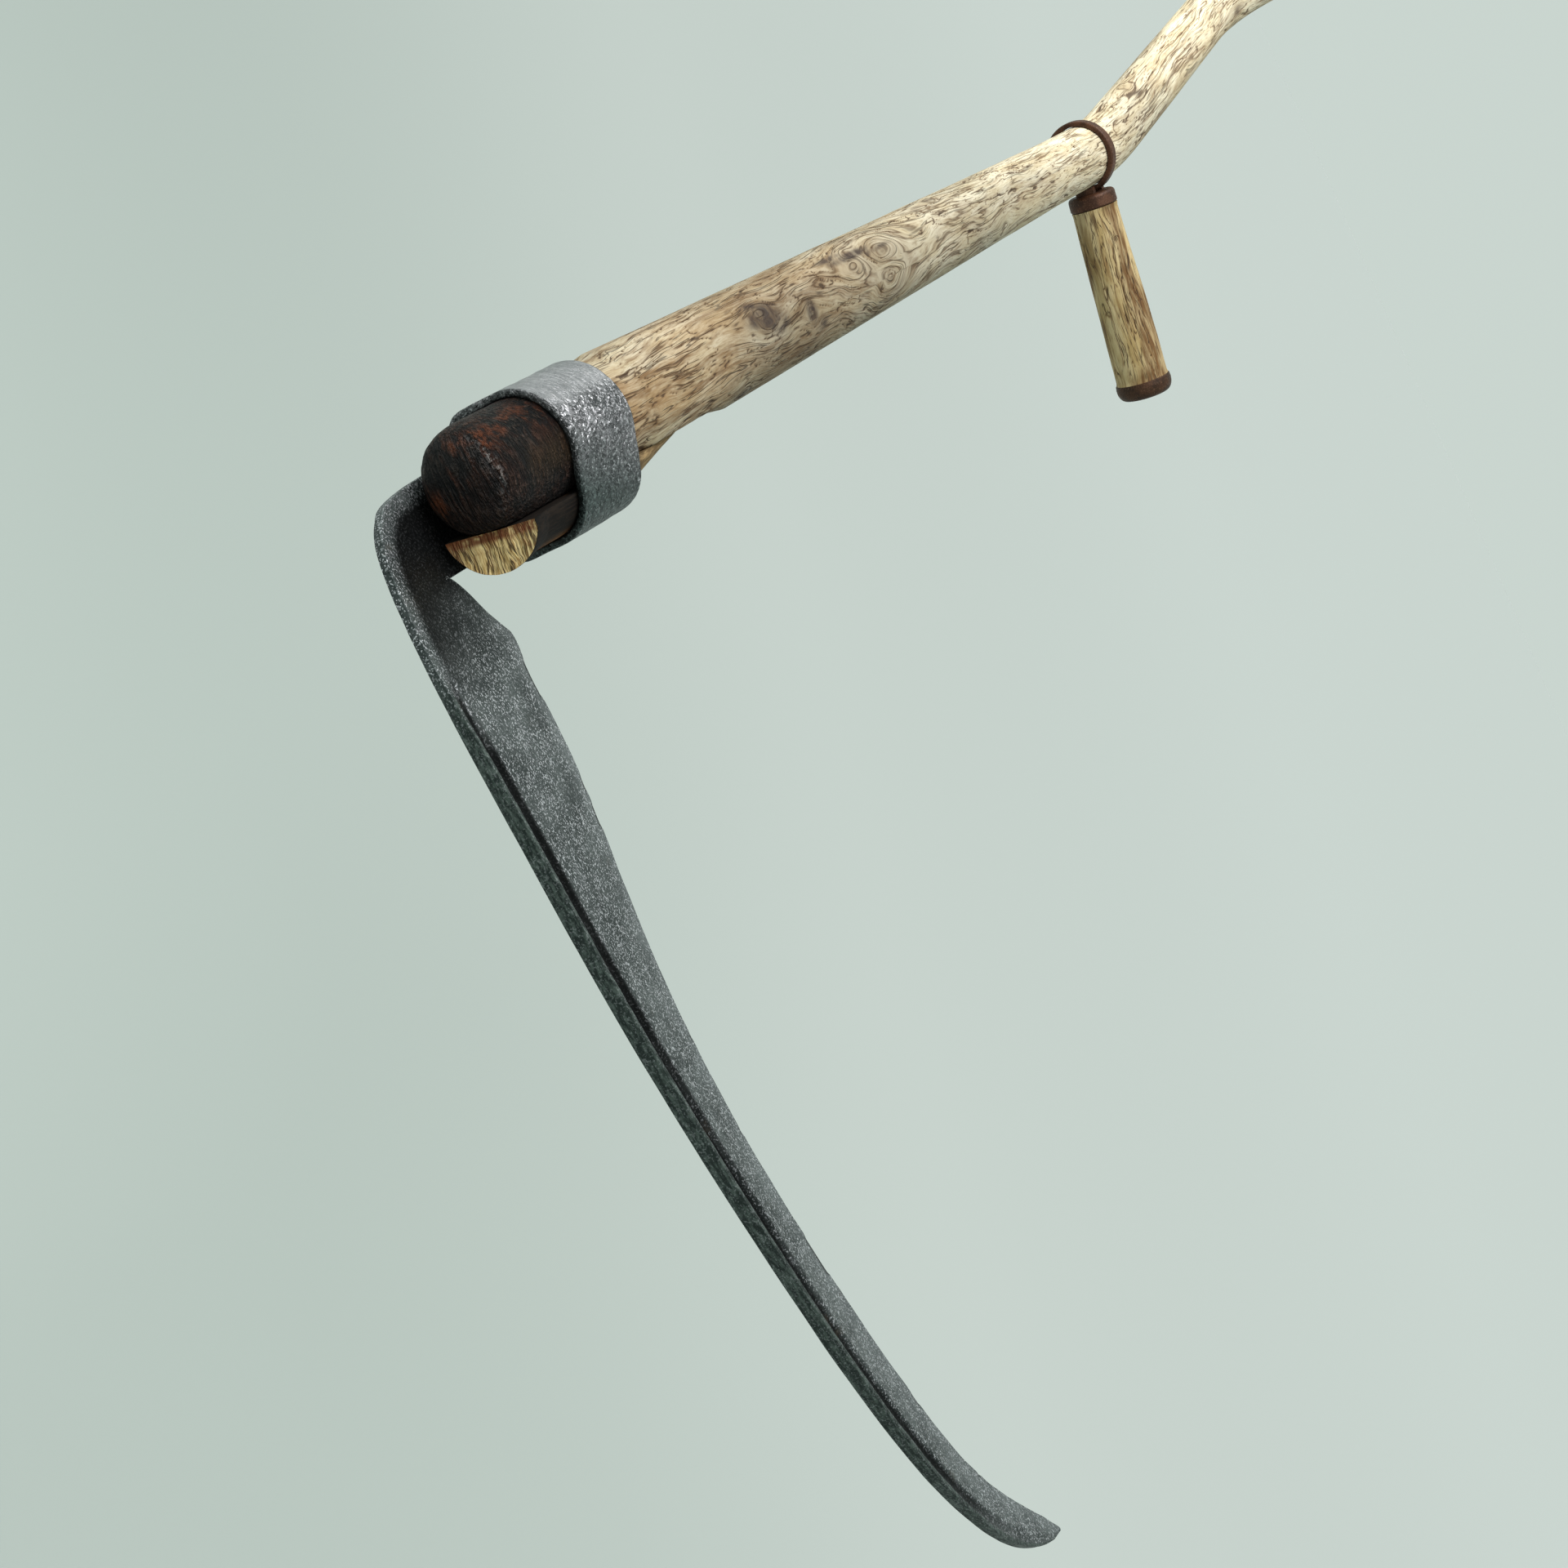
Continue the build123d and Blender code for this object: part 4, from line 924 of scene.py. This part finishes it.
# ---------------------------------------------------------------------------
# Heel ring
# ---------------------------------------------------------------------------
def ring_outline(g):
    rr = ((WEDGE_W / 2) ** 2 + WEDGE_T ** 2) / (2 * WEDGE_T)
    cd = FLAT_DIST + WEDGE_T - rr
    c2 = np.array([cd * math.cos(FLAT_TILT), -cd * math.sin(FLAT_TILT)])
    r2 = rr + 0.25
    ang = -FLAT_TILT + math.acos((BORE_R1 - r2) / cd)
    rx = c2[0] + r2 + g
    lo, lx = BORE_BOTTOM - g, -BORE_R1 - g
    rl, rb = 9.0 + g, 5.0 + g

    def arc(c, r, a0, a1, n):
        t = np.linspace(a0, a1, n, endpoint=False)
        return np.column_stack([c[0] + r * np.cos(t), c[1] + r * np.sin(t)])

    def line(p, q, n):
        t = np.linspace(0, 1, n, endpoint=False)[:, None]
        return np.array(p) * (1 - t) + np.array(q) * t
    o = np.array([0.0, 0.0])
    a = arc(o, BORE_R1 + g, math.pi, ang, 76)
    b = line(o + (BORE_R1 + g) * np.array([math.cos(ang), math.sin(ang)]), c2 + (r2 + g) * np.array([math.cos(ang), math.sin(ang)]), 18)
    c = arc(c2, r2 + g, ang, 0.0, 42)
    d = line((rx, c2[1]), (rx, lo + rb), 20)
    e = arc(np.array([rx - rb, lo + rb]), rb, 0.0, -math.pi / 2, 12)
    f = line((rx - rb, lo), (lx + rl, lo), 52)
    h = arc(np.array([lx + rl, lo + rl]), rl, -math.pi / 2, -math.pi, 18)
    k = line((lx, lo + rl), (lx, 0.0), 24)
    return np.vstack([a, b, c, d, e, f, h, k])


def build_ring():
    n_out, n_rim, n_in = 46, 9, 14
    prof = []                                   # (a, growth 0..1, kind)
    e = 1.1
    for t in np.linspace(0, 1, n_out):
        prof.append((e + (RING_LEN - 2 * e) * t, 1.0, 0))
    rim = lambda s: [(RING_LEN / 2 + s * (RING_LEN / 2 - e + e * math.sin(q)), 1 - (e / RING_T) * (1 - math.cos(q)), 1)
                     for q in np.linspace(0.35, math.pi / 2, 4)]
    prof += rim(1)
    prof += [(RING_LEN, g, 1) for g in (0.55, 0.35)]
    prof += [(RING_LEN - 0.12, 0.14, 1), (RING_LEN - 0.6, 0.0, 2)]
    for t in np.linspace(0, 1, n_in)[1:-1]:
        prof.append((RING_LEN - 0.6 - (RING_LEN - 1.2) * t, 0.0, 2))
    prof += [(0.6, 0.0, 2), (0.12, 0.14, 1)]
    prof += [(0.0, g, 1) for g in (0.35, 0.55)]
    prof += rim(-1)[::-1]
    outl = {}
    rows = []
    for a, g, kind in prof:
        key = round(g, 5)
        if key not in outl:
            outl[key] = ring_outline(RING_T * g)
        rows.append(outl[key])
    Q = np.array(rows)
    n, N = Q.shape[:2]
    A = np.repeat(np.array([p[0] for p in prof])[:, None], N, 1)
    G = np.repeat(np.array([p[1] for p in prof])[:, None], N, 1)
    full = ring_outline(RING_T)
    nxt, prv = np.roll(full, -1, 0), np.roll(full, 1, 0)
    tang = nxt - prv
    tang /= np.linalg.norm(tang, axis=1)[:, None]
    nor = np.column_stack([-tang[:, 1], tang[:, 0]])
    nor *= np.sign((nor * (full - full.mean(0))).sum(1))[:, None]
    p3 = np.stack([Q[..., 0], Q[..., 1], A], -1).reshape(-1, 3)
    ham = fbm(p3 * 0.085, 2, 101).reshape(n, N) * 0.75 + fbm(p3 * 0.33, 2, 111).reshape(n, N) * 0.30
    Q = Q - nor[None] * (ham * 0.72 * G ** 2)[..., None]
    # rims not dead straight
    wob = (fbm(np.column_stack([full * 0.06, np.zeros(N)]), 3, 121) - 0.5)
    wob2 = (fbm(np.column_stack([full * 0.06, np.ones(N) * 9]), 3, 122) - 0.5)
    front = smooth(12, 0, A)
    back = smooth(RING_LEN - 12, RING_LEN, A)
    A = A + front * (0.3 + 1.1 * wob[None] + 0.25).clip(0) - back * (0.3 + 1.1 * wob2[None] + 0.25).clip(0)
    verts = C0 + A[..., None] * S + Q[..., 0:1] * U + Q[..., 1:2] * V
    faces = grid_faces(n, N)
    # close the loop across the band
    last = (n - 1) * N
    faces += [(last + j, last + (j + 1) % N, (j + 1) % N, j) for j in range(N)]
    kind = np.array([p[2] for p in prof])
    s = np.concatenate([[0], np.cumsum(np.linalg.norm(np.diff(full, axis=0), axis=1))])
    ang = np.degrees(np.arctan2(full[:, 1], full[:, 0]))
    filed = smooth(104, 122, ang) * (1 - smooth(176, 190, np.where(ang < 0, ang + 360, ang)))
    filed = np.repeat(filed[None], n, 0) * (kind == 0)[:, None] * smooth(0.15, 0.55, 1 - np.abs(A / RING_LEN - 0.5) * 0.6)
    loc = np.stack([np.repeat(s[None], n, 0), Q[..., 1] * 0 + G, A], -1).reshape(-1, 3) * 0.001
    # under: painted shade on the side of the ring lower in the picture
    attrs = {"under": smooth(2.0, -27.0, (verts - C0 - 22.0 * S) @ VIEW_UP).ravel(), "filed": filed.ravel(), "bore_painted_shade": np.repeat((kind == 2).astype(float)[:, None], N, 1).ravel(),
             "rim": np.repeat((kind == 1).astype(float)[:, None], N, 1).ravel(), "loc": loc}
    return make("iron_heel_ring", verts.reshape(-1, 3), faces, attrs, "heel_ring", "heel_ring", [M_RING], sharp=50)


heel_ring = build_ring()


# ---------------------------------------------------------------------------
# Wedge
# ---------------------------------------------------------------------------
FLAT_N = unit(U * math.cos(FLAT_TILT) - V * math.sin(FLAT_TILT))
FLAT_T = np.cross(S, FLAT_N)
WEDGE_ROWS = np.array([(-54.0, 43.6, WEDGE_T + 2.6, -5.7, 0.35), (-20.0, WEDGE_W, WEDGE_T - 0.15, 0.0, 0.12),
                       (0.0, WEDGE_W, WEDGE_T - 0.15, 0.0, 0.04), (45.0, 34.0, 13.6, -1.0, 0.25), (91.0, 7.0, 1.6, -8.0, 0.25)])


def build_wedge():
    n_flat, n_arc, n_top = 26, 44, 10
    N = n_flat + n_arc + n_top

    def section(a):
        w, th, drop, top = (np.interp(a, WEDGE_ROWS[:, 0], WEDGE_ROWS[:, i]) for i in range(1, 5))
        p, q, r = np.array([0, w / 2]), np.array([th, -0.4 * top * w]), np.array([top * th, -w / 2])
        d = 2 * (p[0] * (q[1] - r[1]) + q[0] * (r[1] - p[1]) + r[0] * (p[1] - q[1]))
        cx = ((p @ p) * (q[1] - r[1]) + (q @ q) * (r[1] - p[1]) + (r @ r) * (p[1] - q[1])) / d
        cy = ((p @ p) * (r[0] - q[0]) + (q @ q) * (p[0] - r[0]) + (r @ r) * (q[0] - p[0])) / d
        c, R = np.array([cx, cy]), math.hypot(p[0] - cx, p[1] - cy)
        t0, t1 = math.atan2(p[1] - cy, p[0] - cx), math.atan2(r[1] - cy, r[0] - cx)
        if t1 > t0:
            t1 -= 2 * math.pi
        t = np.linspace(t0, t1, n_arc, endpoint=False)
        f = np.linspace(0, 1, n_flat, endpoint=False)[:, None]
        g = np.linspace(0, 1, n_top, endpoint=False)[:, None]
        b = np.array([0, -w / 2])
        pts = np.vstack([b * (1 - f) + p * f, np.column_stack([cx + R * np.cos(t), cy + R * np.sin(t)]), r * (1 - g) + b * g])
        pts[:, 1] += drop
        return pts
    ks = np.concatenate([np.linspace(0, 0.06, 5), np.linspace(0.07, 1, 92)])
    yend = section(-40.0)[:, 1]
    for _ in range(4):
        aend = -39.5 - 0.3 * yend
        yend = np.array([section(aend[j])[j, 1] for j in range(N)])
    XY = np.zeros((len(ks), N, 2))
    AA = np.zeros((len(ks), N))
    for i, k in enumerate(ks):
        for j in range(N):
            AA[i, j] = aend[j] + k * (91 - aend[j])
    cache = {}
    grid = np.linspace(-54, 91, 291)
    table = np.array([section(a) for a in grid])              # 291 x N x 2
    for j in range(N):
        XY[:, j, 0] = np.interp(AA[:, j], grid, table[:, j, 0])
        XY[:, j, 1] = np.interp(AA[:, j], grid, table[:, j, 1])
    # knife-split unevenness, kept inside the outline
    mid = XY.mean(1, keepdims=True)
    p3 = np.concatenate([XY, AA[..., None]], -1).reshape(-1, 3)
    ln = fbm(p3 * np.array([0.30, 0.30, 0.03]), 3, 131).reshape(AA.shape)
    und = fbm(p3 * np.array([0.07, 0.07, 0.05]), 3, 141).reshape(AA.shape)
    d = mid - XY
    dl = np.linalg.norm(d, axis=-1, keepdims=True)
    amt = (0.35 * ln + 0.45 * und)[..., None] * smooth(0.5, 5.0, dl)
    amt[:, :n_flat] *= 0.35
    XY = XY + d / np.maximum(dl, 1e-6) * amt
    # round the driven end's arris a touch
    arris = np.array([0.9, 0.35, 0.1])
    for i, v in enumerate(arris):
        XY[i] = XY[i] + (mid[i] - XY[i]) * (v * 0.45 / np.maximum(dl[i], 1.0))
    base = C0 + FLAT_N * (FLAT_DIST + 0.12)
    verts = base + AA[..., None] * S + XY[..., 0:1] * FLAT_N + XY[..., 1:2] * FLAT_T
    verts = verts.reshape(-1, 3)
    faces = grid_faces(len(ks), N)
    fm = [1] * len(faces)
    # end face: shrinking loops to the middle, with cut-grain steps
    loops = 16
    XYe, AE = XY[0], AA[0]
    c = XYe.mean(0)
    ends, eloc = [], []
    for i in range(0, loops):
        t = i / loops
        q = XYe * (1 - t) + c * t
        ae = -39.5 - 0.3 * q[:, 1]
        rough = (fbm(np.column_stack([q[:, 0] * 0.05, q[:, 1] * 0.42, q[:, 0] * 0]), 3, 151) - 0.25) * 1.0 * smooth(0, 0.12, np.array([t]))[0]
        ends.append(base + (ae + rough)[:, None] * S + q[:, 0:1] * FLAT_N + q[:, 1:2] * FLAT_T)
        eloc.append(np.column_stack([q, ae]))
    ends, eloc = np.vstack(ends), np.vstack(eloc)
    s0 = len(verts)
    verts = np.vstack([verts, ends, base + (-39.5 - 0.3 * c[1]) * S + c[0] * FLAT_N + c[1] * FLAT_T])
    ef = grid_faces(loops, N, True, s0)
    ctr = len(verts) - 1
    lb = s0 + (loops - 1) * N
    ef += [(ctr, lb + (j + 1) % N, lb + j) for j in range(N)]
    # thin far end, closed with a fan
    tb = (len(ks) - 1) * N
    verts = np.vstack([verts, verts[tb:tb + N].mean(0)])
    tf = [(len(verts) - 1, tb + j, tb + (j + 1) % N) for j in range(N)]
    faces += ef + tf
    fm += [0] * len(ef) + [1] * len(tf)
    loc = np.vstack([p3, eloc, [np.append(c, -40)], [p3[tb]]])
    XYall = loc[:, :2]
    idx = np.concatenate([np.tile(np.arange(N), len(ks)), np.tile(np.arange(N), loops), [0, 0]])
    x, y, a = loc[:, 0], loc[:, 1], loc[:, 2]
    topedge = smooth(5.4, 3.2, x)
    lowtip = smooth(9, 17, y)
    rub = smooth(9.0, 15.0, x) * smooth(-60, -8, -np.abs(a + 14)) + 0.0
    rub = np.clip(rub * smooth(-14, 2, y), 0, 1)
    tipness = smooth(40, 60, a)
    attrs = {"loc": loc * 0.001, "topedge": topedge, "lowtip": lowtip, "rub": rub, "tipness": tipness}
    ob = make("split_wedge", verts, faces, attrs, None, None, [M_WEND, M_WBARK_SHADE], fm, sharp=40)
    # weld the end face to the sides, so the piece is one closed skin
    bm = bmesh.new()
    bm.from_mesh(ob.data)
    bmesh.ops.remove_doubles(bm, verts=bm.verts, dist=0.00002)
    bmesh.ops.recalc_face_normals(bm, faces=bm.faces)
    bm.to_mesh(ob.data)
    bm.free()
    ob.data.set_sharp_from_angle(angle=math.radians(40))
    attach(ob, "wedge")
    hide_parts("wedge")
    return ob


split_wedge = build_wedge()


# ---------------------------------------------------------------------------
# Grips: turned, hand-worn wood with long drying cracks
# ---------------------------------------------------------------------------
def build_grip(which, centre, axis, seed):
    nu, nv = cross_dirs(axis)
    g = unit(nu * math.cos(NIB_DIP) - nv * math.sin(NIB_DIP))
    e1, e2 = axis, np.cross(g, axis)
    z0, z1 = COLLAR_Z1 + 0.35, GRIP_Z1
    zz = np.linspace(z0, z1, 128)
    r = np.interp(zz, [z0, 62, 92, 118, z1], [GRIP_R0, 15.5, 16.3, 16.9, GRIP_R1])
    N = 180
    th = np.linspace(0, 2 * np.pi, N, endpoint=False)
    Z, T = np.meshgrid(zz, th, indexing="ij")
    R = np.repeat(r[:, None], N, 1)
    wig = (fbm(np.column_stack([np.cos(T).ravel() * 1.2, np.sin(T).ravel() * 1.2, Z.ravel() / 42.0]), 3, seed + 5) - 0.5).reshape(Z.shape)
    T2 = T + 0.42 * wig
    F = np.stack([R * np.cos(T2), R * np.sin(T2), Z + 300.0 * (seed % 7)], -1)
    pf = F.reshape(-1, 3)
    n1 = vnoise(pf * np.array([0.22, 0.22, 0.016]) + 3.1, seed + 11) * 0.7 + vnoise(pf * np.array([0.8, 0.8, 0.06]) + 7.7, seed + 12) * 0.3
    gate = fbm(pf * np.array([0.13, 0.13, 0.022]) + 1.7, 2, seed + 21)
    crack = ((1 - smooth(0.0, 0.036, np.abs(n1 - 0.5))) * smooth(0.41, 0.52, gate)).reshape(Z.shape)
    stain = fbm(pf * np.array([0.075, 0.075, 0.020]) + 2.7, 3, seed + 31).reshape(Z.shape)
    stain = smooth(0.47, 0.66, stain) + 0.8 * smooth(z0 + 16, z0, Z) * smooth(0.3, 0.6, stain) + 0.5 * smooth(z1 - 16, z1, Z) * smooth(0.35, 0.6, stain)
    und = fbm(pf * np.array([0.05, 0.05, 0.016]), 3, seed + 41).reshape(Z.shape)
    flatn = 0.5 + 0.5 * np.cos(3 * T + 0.02 * Z + seed)
    ease = smooth(z0, z0 + 2.5, Z) * smooth(z1, z1 - 2.0, Z)
    Rn = R - (0.75 * und + 0.25 * flatn * und + 0.50 * crack) * ease - 0.1
    X, Y = Rn * np.cos(T), Rn * np.sin(T)
    rows = [np.stack([X[i], Y[i], Z[i]], -1) for i in range(len(zz))]
    cr, st = [c for c in crack], [s for s in np.clip(stain, 0, 1)]
    fl = [f for f in F]
    circ = np.column_stack([np.cos(th), np.sin(th)])

    def ring_at(rad, z):
        rows.append(np.column_stack([circ * rad, np.full(N, z)]))
        cr.append(np.zeros(N))
        st.append(np.full(N, 0.8))
        fl.append(np.column_stack([circ * rad, np.full(N, z + 300.0 * (seed % 7))]))
    for rad, z in ((15.55, z1 + 0.02), (15.5, z1 + 6.9), (9.4, z1 + 7.0), (9.3, z1 - 2.05), (4.5, z1 - 2.1), (4.5, 92.0), (4.5, COLLAR_Z0 + 4.5),
                   (12.0, COLLAR_Z0 + 4.5), (12.5, COLLAR_Z0 + 5.3), (12.5, z0)):
        ring_at(rad, z)
    P = np.array(rows)
    n = len(P)
    verts = centre + P[..., 0:1] * e1 + P[..., 1:2] * e2 + P[..., 2:3] * g
    faces = grid_faces(n, N)
    last = (n - 1) * N
    faces += [(last + j, last + (j + 1) % N, (j + 1) % N, j) for j in range(N)]
    attrs = {"flow": np.array(fl).reshape(-1, 3) * 0.001, "crack": np.array(cr).ravel(), "stain": np.array(st).ravel()}
    return make(which + "_grip_wood", verts.reshape(-1, 3), faces, attrs, which + "_nib_grip", which + "_nib_grip", [M_GRIP], sharp=48)


LOWER_C = C0 + S * NIB_A
UPPER_C = K3 + D3 * 100.0
lower_grip = build_grip("lower", LOWER_C, S, 200)
upper_grip = build_grip("upper", UPPER_C, D3, 301)

# The iron of the nibs keeps its CAD shape and gets its finish here.
for side in ("lower", "upper"):
    for part, mat in (("eyebolt", M_NIB), ("collar", M_NIB), ("end_cap", M_CAP), ("washer", M_NUT), ("nut", M_NUT)):
        ob = NODES[side + "_nib_" + part]
        if not ob.material_slots:
            ob.data.materials.append(mat)
        for s in ob.material_slots:
            s.material = mat

# ---------------------------------------------------------------------------
# Stage, light and camera
# ---------------------------------------------------------------------------
scene = bpy.context.scene
scene.view_settings.view_transform = "Standard"
scene.view_settings.look = "None"

BACK = (0.590, 0.668, 0.625)
world = bpy.data.worlds.new("studio")
scene.world = world
world.use_nodes = True
bg = world.node_tree.nodes["Background"]
bg.inputs[0].default_value = (*BACK, 1.0)
bg.inputs[1].default_value = 1.0

floor_mat = Mat("pale_floor")
fo = floor_mat.obj()
fx = floor_mat.t.nodes.new("ShaderNodeSeparateXYZ")
floor_mat.put(fx.inputs[0], fo)
# painted shade: the floor is darkest in a band near ft between about -1.3 and 0.6 and grows lighter away from it,
# standing in for uneven light over the backdrop
ft = floor_mat.math("MULTIPLY_ADD", fx.outputs[1], 0.851, fx.outputs[0])
f1 = floor_mat.ramp(ft, -1.355, -4.397)
f2 = floor_mat.ramp(ft, -1.345, -11.64)
fmott = floor_mat.noise(fo, 0.8, 3.0, 0.5)
floor_shade_c = floor_mat.mix(fmott, (0.380, 0.422, 0.404, 1), (0.390, 0.432, 0.414, 1))
fcol = floor_mat.mix(f2, floor_mat.mix(f1, floor_shade_c, (0.502, 0.535, 0.523, 1)), (0.568, 0.600, 0.592, 1))
fcol = floor_mat.mix(floor_mat.ramp(ft, 0.6, 9.0), fcol, (0.568, 0.600, 0.592, 1))
floor_mat.finish(fcol, 0.9, floor_mat.bump(floor_mat.noise(fo, 300.0, 2.0), 0.0002, 0.2), 0.0, 0.1)
fm_ = bpy.data.meshes.new("floor")
bm = bmesh.new()
bmesh.ops.create_circle(bm, cap_ends=True, radius=34.0, segments=96)
bmesh.ops.translate(bm, verts=bm.verts, vec=(0.0, -0.6, -1.1))
bm.to_mesh(fm_)
bm.free()
floor = bpy.data.objects.new("floor", fm_)
scene.collection.objects.link(floor)
fm_.materials.append(floor_mat.m)


def sun(name, direction, strength, angle, color=(1, 1, 1)):
    li = bpy.data.lights.new(name, "SUN")
    li.energy, li.angle, li.color = strength, math.radians(angle), color
    ob = bpy.data.objects.new(name, li)
    scene.collection.objects.link(ob)
    ob.rotation_euler = Vector(direction).to_track_quat("Z", "Y").to_euler()
    return ob


def softbox(name, loc, target, size, power, color=(1, 1, 1)):
    li = bpy.data.lights.new(name, "AREA")
    li.shape, li.size, li.size_y = "RECTANGLE", size[0], size[1]
    li.energy, li.color = power, color
    ob = bpy.data.objects.new(name, li)
    scene.collection.objects.link(ob)
    ob.location = loc
    ob.rotation_euler = (Vector(loc) - Vector(target)).to_track_quat("Z", "Y").to_euler()
    return ob


sun("key_sun", (0.50, -0.25, 0.83), 1.6, 30, (1.0, 0.985, 0.96))
sun("rim_sun", (0.80, -0.60, 0.16), 0.45, 16, (0.97, 1.0, 0.98))
softbox("top_box", (0.80, 0.10, 1.80), (0.0, -0.25, 0.1), (0.9, 0.7), 40, (1.0, 0.985, 0.975))

cam_data = bpy.data.cameras.new("camera")
cam_data.lens, cam_data.sensor_width = 50.0, 36.0
cam_data.clip_start, cam_data.clip_end = 0.02, 100.0
cam = bpy.data.objects.new("camera", cam_data)
scene.collection.objects.link(cam)
right, up, back = Vector((-0.49918, -0.12736, 0.85709)), Vector((0.76538, -0.52852, 0.36723)), Vector((0.40621, 0.83931, 0.36131))
rot = Matrix((right, up, back)).transposed()
cam.matrix_world = Matrix.Translation((0.21394, 0.71657, 0.39553)) @ rot.to_4x4()
scene.camera = cam
